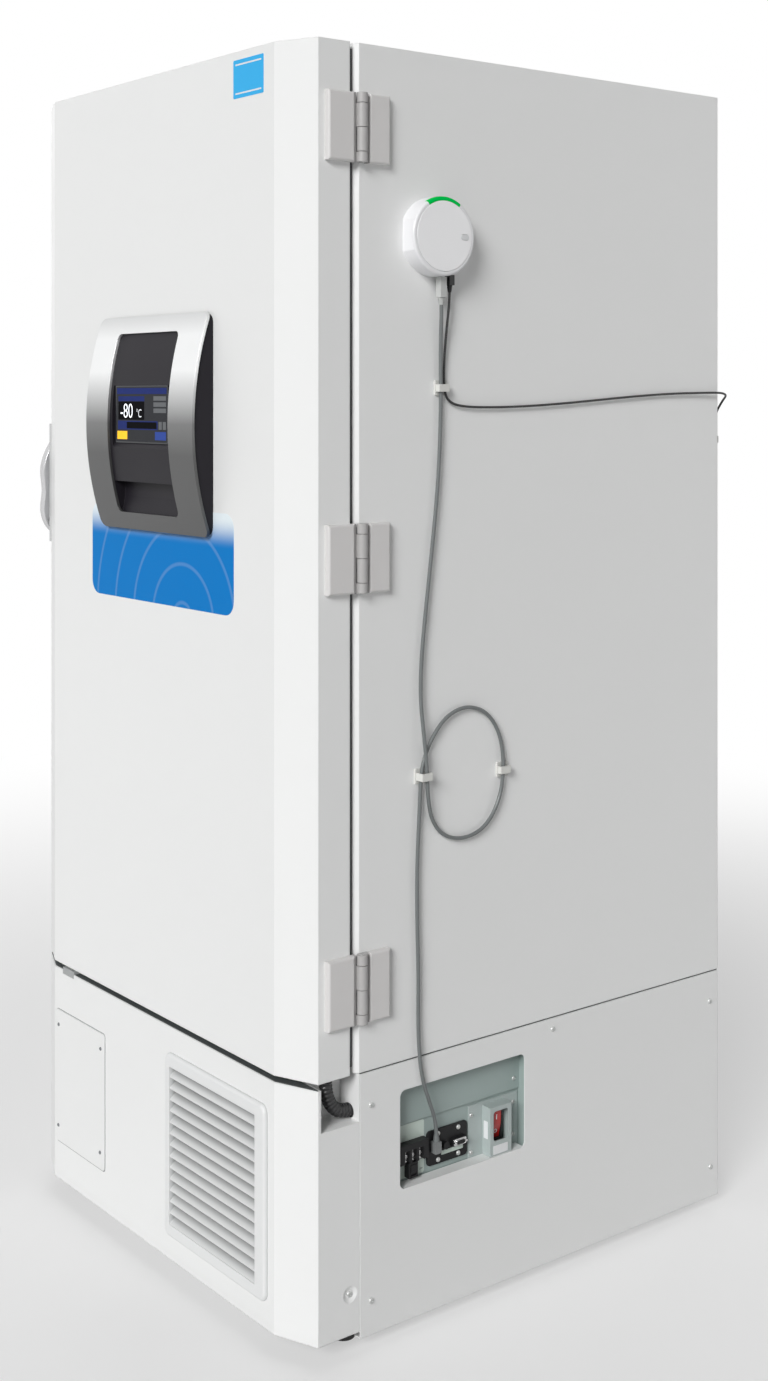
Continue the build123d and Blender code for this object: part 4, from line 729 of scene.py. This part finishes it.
class FREEZER_OT_sensor_cable(bpy.types.Operator):
    """Lays the grey cable with its slack loop"""

    bl_idname = "freezer.sensor_cable"
    bl_label = "Sensor cable"

    def execute(self, context):
        radius = sizes().sensor_radius
        boots = [
            boot("sensor_boot", (439.0, -200.0, 1607.8), (439.0, -199.9, 1596.0), 5.2, 3.7),
            boot("socket_boot", (410.0, -186.2, 273.5), (410.0, -186.2, 285.0), 5.2, 3.7),
        ]
        for piece, look in zip(boots, ("boot", "cable")):
            finish(piece, look, "cabinet", "plug_grey")
        obj = cable_curve("grey_cable", SENSOR_ROUTE, radius)
        obj.data.materials.append(material("cable"))
        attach(obj, "cabinet")
        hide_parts("sensor_cable")
        length_of(line_points(SENSOR_ROUTE))
        return {"FINISHED"}


class FREEZER_OT_conduit(bpy.types.Operator):
    """Makes the ribbed conduit from the door into the base"""

    bl_idname = "freezer.conduit"
    bl_label = "Conduit"

    route = [
        (401.0, -397.6, 423.7), (401.0, -397.6, 400.0), (401.0, -385.6, 372.5), (401.0, -362.0, 360.6),
        (401.0, -290.3, 360.6),
    ]
    radius, sides, swell, cuts = 8.5, 40, 1.22, 5
    blend_start, blend_end = (401, -380, 366), (401, -397, 415)

    def execute(self, context):
        pitch = sizes().rib_pitch
        length = length_of(line_points(self.route)) / MM
        count = int(length // pitch)
        rib = drum("conduit", (0, 0, 0), (0, 0, pitch), self.radius, self.sides)
        edit(rib, "FACE", lambda face: abs(face.normal.z) > 0.5)
        bpy.ops.mesh.delete(type="FACE")
        bpy.ops.mesh.select_all(action="SELECT")
        bpy.ops.mesh.subdivide(number_cuts=self.cuts)
        leave()
        edit(rib, "VERT", lambda v: 0.3 < v.co.z / MM / pitch < 0.8)
        bpy.ops.transform.resize(value=(self.swell, self.swell, 1.0), center_override=(0, 0, 0))
        leave()
        add_modifier(
            rib,
            "ARRAY",
            count=count,
            use_relative_offset=False,
            use_constant_offset=True,
            constant_offset_displace=(0, 0, pitch * MM),
            use_merge_vertices=True,
            merge_threshold=0.0002,
        )
        path = cable_curve("conduit_path", self.route, 0.0)
        add_modifier(rib, "CURVE", object=path, deform_axis="POS_Z")
        bpy.data.objects.remove(path, do_unlink=True)
        activate(rib)
        bpy.ops.object.shade_smooth()
        rib.data.materials.append(material("conduit"))
        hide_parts("door_conduit")
        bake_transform(rib)
        return {"FINISHED"}


LEAD_ROUTE = [
    (439.0, -183.0, 1627.4), (439.0, -183.0, 1615.4), (438.0, -184.0, 1590.0), (433.0, -186.0, 1545.0),
    (430.4, -187.5, 1505.0), (430.4, -187.5, 1470.0), (430.4, -183.0, 1450.0), (430.4, -168.0, 1440.0),
    (430.4, -140.0, 1436.0), (430.4, -90.0, 1435.0), (430.4, -19.3, 1436.3), (430.4, 51.4, 1439.8),
    (430.4, 122.1, 1444.4), (430.4, 192.9, 1449.6), (430.4, 263.6, 1454.2), (430.4, 334.3, 1457.7),
    (431.4, 405.0, 1459.0), (433.9, 438.0, 1459.5), (434.9, 460.0, 1459.0), (429.0, 478.0, 1455.0),
    (413.0, 485.0, 1445.0), (402.0, 480.0, 1424.0), (399.5, 471.5, 1394.0),
]
LEAD_END = [(309.0, 496.5, 24.0), (287.0, 499.5, 8.0), (268.0, 499.5, 3.5), (250.0, 498.4, 2.4)]
COIL_END = [(241.0, 548.4, 6.2), (252.0, 546.9, 4.9), (262.95, 546.5, 4.5)]


class FREEZER_OT_power_lead(bpy.types.Operator):
    """Lays the black lead down the back and ties its slack in a small coil"""

    bl_idname = "freezer.power_lead"
    bl_label = "Power lead"

    hang_steps = 22
    hang_top = (398.5, 467.0, 1352.0)
    hang_drift = (-76.0, 27.0)
    hang_drop = 1286.0
    coil_middle = (228.95, 523.5)
    turns = 2.5
    points_per_turn = 16
    lanes = [
        (0.0, 25.3, 2.2), (0.6, 25.3, 2.2), (0.8, 20.7, 2.2), (1.4, 20.7, 2.2),
        (1.6, 20.7, 6.6), (2.2, 20.7, 6.6), (2.4, 25.3, 6.6), (2.6, 25.3, 6.6),
    ]

    def lane(self, turn):
        """The coil's radius and height at a turn."""
        for (a, ra, za), (b, rb, zb) in zip(self.lanes, self.lanes[1:]):
            if a <= turn <= b:
                share = (turn - a) / (b - a)
                return ra + share * (rb - ra), za + share * (zb - za)
        raise ValueError("turn lies outside the coil")

    def route(self):
        points = list(LEAD_ROUTE)
        top_x, top_y, top_z = self.hang_top
        for step in range(self.hang_steps + 1):
            t = step / self.hang_steps
            aside, back = (drift * t * t for drift in self.hang_drift)
            points.append((top_x + aside, top_y + back, top_z - self.hang_drop * t))
        points += LEAD_END
        x, y = self.coil_middle
        for step in range(int(self.turns * self.points_per_turn) + 1):
            turn = step / self.points_per_turn
            radius, height = self.lane(turn)
            angle = math.radians(-90.0 - 360.0 * turn)
            points.append((x + radius * math.cos(angle), y + radius * math.sin(angle), height))
        return points + COIL_END

    def execute(self, context):
        radius = sizes().lead_radius
        points = self.route()
        lead = cable_curve("black_lead", points, radius)
        lead.data.materials.append(material("lead"))
        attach(lead, "cabinet")
        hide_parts("power_lead", "power_lead_coil")
        relief = boot("lead_boot", (439.0, -183.0, 1627.4), (439.0, -183.1, 1616.0), 4.4, 2.5)
        finish(relief, "black", "cabinet", "connector_black")
        x, y = self.coil_middle
        tie = rounded_plate("lead_tie", (x - 27.5, y - 2.0, 0.0), (x - 18.5, y + 2.0, 9.0), 2.2, 1)
        inner = rounded_plate("tie_hole", (x - 27.33, y - 4.0, 0.17), (x - 18.67, y + 4.0, 8.83), 2.05, 1)
        cut(tie, inner)
        finish(tie, "black", "cabinet", "connector_black")
        length_of(line_points(points))
        return {"FINISHED"}


def facing(obj, place, axis):
    """Turns a piece modelled along +Z at the origin to an axis and moves it to its place."""
    turn = Vector(axis).to_track_quat("Z", "Y").to_matrix().to_4x4()
    obj.data.transform(Matrix.Translation(mm(*place)) @ turn)
    return obj


def screw_head(name, radius, place, axis):
    """A domed cross-recess screw head."""
    head = drum(name, (0, 0, -0.2), (0, 0, 0.55 * radius), radius, 40)
    edit(head, "EDGE", lambda e: all(head.data.vertices[i].co.z > 0 for i in e.vertices))
    bpy.ops.mesh.bevel(offset=0.45 * radius * MM, segments=5)
    leave()
    arm, reach, top = 0.16 * radius, 0.62 * radius, radius
    for wide, deep in ((arm, reach), (reach, arm)):
        cut(head, cube("slot", (-wide, -deep, 0.28 * radius), (wide, deep, top)))
    return facing(head, place, axis)


class FREEZER_OT_screws(bpy.types.Operator):
    """Fits the panel screws"""

    bl_idname = "freezer.screws"
    bl_label = "Screws"

    cover = [(-334.0, 312.0), (-179.0, 312.0), (-335.0, 129.0), (-181.0, 130.0)]
    side = [(-329.0, 371.0), (-329.0, 72.0), (51.0, 404.0), (436.0, 370.0), (438.0, 73.0)]
    plate = [(-178.0, 282.0), (-136.0, 282.0), (-178.0, 240.5), (-136.0, 240.5)]
    guard = [(-107.5, 293.0), (-107.5, 233.0), (-16.5, 293.0), (-16.5, 240.0)]
    step = [(-16.5, 332.0)]
    seat = (422.0, -368.0, 93.0)
    cover_face, side_face, plate_face, guard_face = -460.0, 426.0, 404.0, 402.5
    cover_radius, plate_radius, guard_radius = 3.2, 3.9, 3.6

    def execute(self, context):
        radius = sizes().screw_radius
        front, right, left = (0, -1, 0), (1, 0, 0), (-1, 0, 0)
        dark = []
        for x, z in self.cover:
            dark.append(screw_head("cover_screw", self.cover_radius, (x, self.cover_face, z), front))
        finish(join("cover_screws", *dark), "motor", "cabinet", "pin_steel")
        heads = []
        for name, places, size, face in (
            ("side_screw", self.side, radius, self.side_face),
            ("plate_screw", self.plate, self.plate_radius, self.plate_face),
            ("guard_screw", self.guard, self.guard_radius, self.guard_face),
            ("step_screw", self.step, self.guard_radius, self.plate_face),
        ):
            heads += [screw_head(name, size, (face, y, z), right) for y, z in places]
        x, y, z = self.seat
        heads.append(screw_head("seat_screw", radius, (x, y, z), right))
        heads.append(screw_head("seat_screw_left", radius, (-x, y, z), left))
        finish(join("panel_screws", *heads), "screw", "cabinet", "pin_steel")
        return {"FINISHED"}


class FREEZER_OT_shade_strips(bpy.types.Operator):
    """Lays dark strips in the seams round the base as painted shade, a dark ring round the recorder cover as
    painted shade, and the sheet-metal sill of the service window
    """

    bl_idname = "freezer.seals"
    bl_label = "Shade strips"

    seam_x, seam_y, seam_z = (419.0, 424.6), (-349.0, 456.0), (422.3, 423.7)
    front_half, end_half, front_z = 352.0, 423.0, (414.05, 415.2)
    front_y, front_back, end_back, end_slant = -456.0, -380.0, -426.0, 28.5

    def execute(self, context):
        (x0, x1), (y0, y1), (z0, z1) = self.seam_x, self.seam_y, self.seam_z
        low, high = self.front_z
        half = self.front_half
        # Dark strips in the side and front seams of the base: painted shade in the seams.
        shade_strips = [
            cube("seam_shade_strip", (x0, y0, z0), (x1, y1, z1)),
            cube("seam_shade_strip_left", (-x1, y0, z0), (-x0, y1, z1)),
            cube("front_shade_strip", (-half, self.front_y, low), (half, self.front_back, high)),
        ]
        cut(shade_strips[-1], cube("rest_room", (-325.0, -480.0, 400.0), (-279.0, -370.0, 430.0)))
        for side in (-1, 1):
            edges = sorted((side * half, side * self.end_half))
            end = cube("end_shade_strip", (edges[0], self.front_y, low), (edges[1], self.end_back, high))
            edit(end, "VERT", lambda v: abs(v.co.x) > 0.4 and v.co.y < -0.44)
            bpy.ops.transform.translate(value=(0, self.end_slant * MM, 0))
            leave()
            shade_strips.append(end)
        finish(join("base_shade_strips", *shade_strips), "painted_seam_shade", "cabinet", "gasket_rubber")

        # A dark ring round the recorder cover: painted shade along the cover's edges.
        gasket = rounded_plate("cover_shade_ring", (-345.2, -458.5, 98.6), (-165.8, -458.0, 340.2), 7.2, 1)
        cut(gasket, rounded_plate("cover_room", (-344.0, -460.0, 101.0), (-167.0, -456.0, 339.0), 6.0, 1))
        finish(gasket, "catch", "cabinet", "gasket_rubber")

        sill = cube("window_sill", (402.9, -271.5, 223.8), (424.7, -12.5, 225.0))
        cut(sill, cube("hat_room", (400.0, -83.6, 220.0), (422.4, -36.4, 230.0)))
        finish(sill, "panel_paint", "cabinet", "cabinet_white")
        return {"FINISHED"}


class FREEZER_OT_labels(bpy.types.Operator):
    """Sticks the plain blue label and the sky-blue sticker on the door"""

    bl_idname = "freezer.labels"
    bl_label = "Labels"

    door_face, label_face, sticker_face, line_face = -458.0, -458.35, -458.3, -458.4
    label_x, label_z, label_corner = (-211.0, 242.0), (1108.0, 1268.0), 24.0
    sticker_x, sticker_z, sticker_corner = (241.0, 325.0), (1917.0, 1977.0), 2.0
    line_x, line_levels = (247.0, 319.0), ((1968.0, 1970.5), (1923.0, 1925.5))

    def sheet(self, name, face, across, up, corner, segments):
        low, high = (across[0], face, up[0]), (across[1], self.door_face, up[1])
        return rounded_plate(name, low, high, corner, 1, segments)

    def execute(self, context):
        label = self.sheet("door_label", self.label_face, self.label_x, self.label_z, self.label_corner, 8)
        finish(label, "label", "door", "screen_glass")
        sticker = self.sheet(
            "door_sticker", self.sticker_face, self.sticker_x, self.sticker_z, self.sticker_corner, 3
        )
        finish(sticker, "sky", "door", "screen_glass")
        bars = []
        left, right = self.line_x
        for low, high in self.line_levels:
            bars.append(cube("bar", (left, self.line_face, low), (right, self.sticker_face, high)))
        finish(join("sticker_lines", *bars), "print_white", "door", "cabinet_white")
        return {"FINISHED"}


class FREEZER_OT_screen(bpy.types.Operator):
    """Lights the touch screen with a plain temperature page"""

    bl_idname = "freezer.screen"
    bl_label = "Screen"

    left, right, bottom, top, glass = -68.0, 96.0, 1377.5, 1468.5, -491.0
    reading = (("-80", 30.0, 1.08, 0.075, 0.565), ("\u00b0C", 17.0, 0.95, 0.40, 0.555))
    reading_lift, reading_depth, reading_thin, reading_tall = 0.3, 0.03, 0.25, 1.15
    plates = {
        "ui_grey": [(0.0, 1.0, 0.0, 1.0)],
        "ui_blue": [(0.01, 0.99, 0.02, 0.13), (0.04, 0.56, 0.17, 0.26), (0.03, 0.82, 0.62, 0.78)],
        "ui_black": [(0.04, 0.56, 0.265, 0.60), (0.21, 0.80, 0.64, 0.76)],
        "ui_box": [
            (0.74, 0.98, 0.17, 0.25), (0.74, 0.98, 0.28, 0.36), (0.74, 0.98, 0.39, 0.47),
            (0.84, 0.90, 0.63, 0.77), (0.92, 0.98, 0.63, 0.77),
        ],
        "ui_yellow": [(0.02, 0.22, 0.81, 0.96)],
        "ui_button": [(0.77, 0.98, 0.81, 0.96)],
    }

    def plate(self, name, u0, u1, v0, v1, lift):
        """A thin field of the page, placed by shares of the glass from its left and top."""
        width, height = self.right - self.left, self.top - self.bottom
        low = (self.left + u0 * width, self.glass - lift - 0.05, self.top - v1 * height)
        high = (self.left + u1 * width, self.glass - lift, self.top - v0 * height)
        return cube(name, low, high)

    def execute(self, context):
        for layer, (look, places) in enumerate(self.plates.items()):
            made = [self.plate(look, *place, 0.02 + 0.08 * min(layer, 2)) for place in places]
            finish(join("screen_" + look, *made), look, "door", "screen_glass")
        texts = []
        upright = Matrix.Rotation(math.radians(90), 4, "X")
        for body, size, wide, u, v in self.reading:
            text = flat_text(body, size, self.reading_depth, self.reading_thin)
            x = self.left + u * (self.right - self.left)
            z = self.top - v * (self.top - self.bottom)
            place = Matrix.Translation(mm(x, self.glass - self.reading_lift, z))
            text.data.transform(place @ upright @ Matrix.Diagonal((wide, self.reading_tall, 1.0, 1.0)))
            texts.append(text)
        finish(join("screen_reading", *texts), "ui_white", "door", "screen_glass")
        return {"FINISHED"}


class FREEZER_OT_monitor(bpy.types.Operator):
    """Lights the arc in the monitor's rim"""

    bl_idname = "freezer.monitor"
    bl_label = "Monitor"

    middle = (-209.0, 1702.0)
    inner, outer, back, front = 55.5, 61.95, 450.1, 457.95
    sweep, steps, corner_round = 65.6, 36, 3.9

    def execute(self, context):
        y, z = self.middle
        deselect()
        bpy.ops.mesh.primitive_plane_add(size=1)
        light = bpy.context.object
        light.scale = ((self.front - self.back) * MM, (self.outer - self.inner) * MM, 1)
        settle(light, "monitor_light")
        profile = Matrix.Translation(mm((self.back + self.front) / 2, y, z + (self.inner + self.outer) / 2))
        light.data.transform(profile @ Matrix.Rotation(math.radians(90), 4, "X"))
        corner = max(light.data.vertices, key=lambda v: v.co.x + v.co.z).index
        edit(light, "VERT", lambda v: v.index == corner)
        bpy.ops.mesh.bevel(offset=self.corner_round * MM, segments=6, affect="VERTICES")
        leave()
        start = Matrix.Rotation(math.radians(self.sweep / 2), 4, "X")
        place = Matrix.Translation(mm(0, y, z))
        light.data.transform(place @ start @ place.inverted())
        edit(light, "FACE", lambda f: True)
        bpy.ops.mesh.spin(
            steps=self.steps, angle=math.radians(self.sweep), center=mm(0, y, z), axis=(1, 0, 0)
        )
        bpy.ops.mesh.select_all(action="SELECT")
        bpy.ops.mesh.normals_make_consistent(inside=False)
        leave()
        finish(light, "light", "cabinet", "terminal_green")
        return {"FINISHED"}


class FREEZER_OT_service(bpy.types.Operator):
    """Dresses the service recess: alarm plate, terminal screws, connector shell and switch marks"""

    bl_idname = "freezer.service"
    bl_label = "Service recess"

    terminal_ways, tab_half, tab_screw = (-248.0, -234.0, -220.0), 4.2, 3.6
    tab_back, tab_face, tab_z, tab_middle = 408.0, 408.7, (255.3, 274.0), 265.0
    post_ways, post_x, post_z, post_radius = (-149.0, -126.5), (411.6, 415.0), 261.5, 1.9
    plates = {
        "alarm_plate": ((401.0, -271.0, 227.5), (401.35, -204.5, 311.0), 3.0, 0, 4),
        "connector_shell": ((411.0, -150.6, 256.4), (411.6, -124.9, 266.6), 2.0, 0, 4),
        "shell_ring": ((411.0, -146.8, 257.3), (414.0, -128.7, 265.7), 3.0, 0, 5),
        "shell_hollow": ((411.7, -146.2, 257.9), (415.0, -129.3, 265.1), 2.6, 0, 5),
        "connector_core": ((411.5, -145.4, 258.7), (413.2, -130.1, 264.3), 2.0, 0, 5),
        "connector_strip": ((404.0, -171.0, 246.0), (404.25, -126.0, 252.5), 0.6, 0, 2),
        "guard_plate": ((422.0, -76.5, 227.0), (422.3, -45.5, 241.0), 1.0, 0, 3),
        "guard_tag": ((406.0, -83.4, 252.0), (416.0, -83.0, 280.0), 1.0, 1, 3),
    }
    rocker = (410.0, -63.5, 272.0)
    rocker_tilt, rocker_slope, rocker_half = 8.0, 4.87, 23.5
    rocker_edge, rocker_crown = 2.5, 2.0
    mark_height = 12.0
    switch_words = (("ON", 249.0), ("OFF", 233.0))
    word_place, word_size, word_depth = (401.38, -214.5), 4.2, 0.04

    def plate(self, name):
        return rounded_plate(name, *self.plates[name])

    def mark(self, obj, height):
        """Lays a mark, modelled flat on the local origin facing +X, on one half of the tilted rocker."""
        slope = -self.rocker_slope if height > 0 else self.rocker_slope
        off = self.rocker_edge + self.rocker_crown * (1.0 - abs(height) / self.rocker_half)
        onto = Matrix.Translation(mm(off, 0, height)) @ Matrix.Rotation(math.radians(slope), 4, "Y")
        turn = Matrix.Rotation(math.radians(self.rocker_tilt), 4, "Y")
        obj.data.transform(Matrix.Translation(mm(*self.rocker)) @ turn @ onto)
        return obj

    def execute(self, context):
        plate = self.plate("alarm_plate")
        finish(plate, "alarm_plate", "cabinet", "terminal_green")
        tabs = []
        half, (low, high) = self.tab_half, self.tab_z
        for y in self.terminal_ways:
            tabs.append(cube("tab", (self.tab_back, y - half, low), (self.tab_face, y + half, high)))
            place = (self.tab_face, y, self.tab_middle)
            tabs.append(screw_head("terminal_screw", self.tab_screw, place, (1, 0, 0)))
        finish(join("terminal_screws", *tabs), "pin", "cabinet", "pin_steel")

        shell = self.plate("connector_shell")
        ring = self.plate("shell_ring")
        hollow = self.plate("shell_hollow")
        cut(ring, hollow)
        (back, front), z = self.post_x, self.post_z
        posts = [drum("post", (back, y, z), (front, y, z), self.post_radius, 6) for y in self.post_ways]
        finish(join("connector_shell", shell, ring, *posts), "pin", "cabinet", "pin_steel")
        core = self.plate("connector_core")
        finish(core, "black", "cabinet", "connector_black")
        strip = self.plate("connector_strip")
        finish(strip, "alarm_plate", "cabinet", "terminal_green")

        badge = self.plate("guard_plate")
        tag = self.plate("guard_tag")
        finish(join("guard_plates", badge, tag), "print_white", "cabinet", "cover_white")
        marks = []
        turn = Matrix.Rotation(math.radians(90), 4, "Z") @ Matrix.Rotation(math.radians(90), 4, "X")
        for body, z in self.switch_words:
            text = flat_text(body, self.word_size, self.word_depth)
            text.data.transform(Matrix.Translation(mm(*self.word_place, z)) @ turn)
            marks.append(text)
        finish(join("battery_marks", *marks), "black", "cabinet", "connector_black")

        bar = self.mark(cube("bar", (-0.15, -0.9, -4.0), (0.12, 0.9, 4.0)), self.mark_height)
        ring = drum("ring", (-0.15, 0, 0), (0.12, 0, 0), 3.6, 40)
        cut(ring, drum("hole", (-1, 0, 0), (1, 0, 0), 2.3, 40))
        self.mark(ring, -self.mark_height)
        finish(join("breaker_marks", bar, ring), "print_white", "breaker_rocker", "cover_white")
        return {"FINISHED"}


class FREEZER_OT_stage(bpy.types.Operator):
    """Sets the floor, the lights and the camera"""

    bl_idname = "freezer.stage"
    bl_label = "Stage"

    floor_size, floor_drop, floor_grey = 80.0, 0.0005, (0.74, 0.74, 0.74)
    floor_lift, fade_near, fade_far = 0.45, 0.9, 4.2
    aim = (0, 0, 0.8)
    key_place, key_spread = (1.8, -3.25, 2.7), 24.0
    fill_place, fill_spread = (-3.4, 2.2, 2.6), 60.0
    camera_place, camera_turn = (2.585, -1.990, 1.4517), 52.01
    lens, shift = 46.51, -0.2125

    def sun(self, name, strength, spread, place):
        lamp = bpy.data.lights.new(name, "SUN")
        lamp.energy = strength
        lamp.angle = math.radians(spread)
        obj = bpy.data.objects.new(name, lamp)
        obj.location = place
        obj.rotation_euler = (Vector(self.aim) - Vector(place)).to_track_quat("-Z", "Y").to_euler()
        bpy.context.scene.collection.objects.link(obj)

    def execute(self, context):
        deselect()
        bpy.ops.mesh.primitive_plane_add(size=self.floor_size, location=(0, 0, -self.floor_drop))
        floor = settle(bpy.context.object, "floor")
        pale = floor_material("stage_floor", self.floor_grey, self.floor_lift, self.fade_near, self.fade_far)
        floor.data.materials.append(pale)

        world = bpy.data.worlds.new("studio")
        context.scene.world = world
        world.use_nodes = True
        nodes, links = world.node_tree.nodes, world.node_tree.links
        sky = nodes["Background"]
        sky.inputs["Color"].default_value = (1, 1, 1, 1)
        strength = nodes.new("ShaderNodeMapRange")
        strength.inputs["To Min"].default_value = sizes().sky_strength
        strength.inputs["To Max"].default_value = 1.0
        links.new(seen_rays(nodes, links), strength.inputs["Value"])
        links.new(strength.outputs["Result"], sky.inputs["Strength"])

        self.sun("key", sizes().key_strength, self.key_spread, self.key_place)
        self.sun("fill", sizes().fill_strength, self.fill_spread, self.fill_place)

        camera = bpy.data.cameras.new("camera")
        camera.lens = self.lens
        camera.shift_y = self.shift
        camera.clip_end = 200.0
        obj = bpy.data.objects.new("camera", camera)
        obj.location = self.camera_place
        obj.rotation_euler = (math.radians(90), 0, math.radians(self.camera_turn))
        context.scene.collection.objects.link(obj)
        context.scene.camera = obj
        context.scene.view_settings.view_transform = "Standard"
        return {"FINISHED"}


class FREEZER_PT_panel(bpy.types.Panel):
    """Lists the dressing steps"""

    bl_idname = "FREEZER_PT_panel"
    bl_label = "Freezer"
    bl_space_type = "VIEW_3D"
    bl_region_type = "UI"
    bl_category = "Freezer"

    def draw(self, context):
        layout = self.layout
        for group in (context.scene.freezer_sizes, context.scene.freezer_colours):
            for name in group.__annotations__:
                layout.prop(group, name)
        for step in STEPS:
            layout.operator(step.bl_idname)


STEPS = (
    FREEZER_OT_finishes,
    FREEZER_OT_sensor_cable,
    FREEZER_OT_power_lead,
    FREEZER_OT_conduit,
    FREEZER_OT_screws,
    FREEZER_OT_shade_strips,
    FREEZER_OT_labels,
    FREEZER_OT_screen,
    FREEZER_OT_monitor,
    FREEZER_OT_service,
    FREEZER_OT_stage,
)
CLASSES = (FreezerSizes, FreezerColours, FREEZER_PT_panel) + STEPS


def register():
    for cls in CLASSES:
        bpy.utils.register_class(cls)
    bpy.types.Scene.freezer_sizes = bpy.props.PointerProperty(type=FreezerSizes)
    bpy.types.Scene.freezer_colours = bpy.props.PointerProperty(type=FreezerColours)


def unregister():
    del bpy.types.Scene.freezer_colours
    del bpy.types.Scene.freezer_sizes
    for cls in reversed(CLASSES):
        bpy.utils.unregister_class(cls)


def main():
    register()
    for step in STEPS:
        group, name = step.bl_idname.split(".")
        getattr(getattr(bpy.ops, group), name)()


if __name__ == "__main__":
    main()
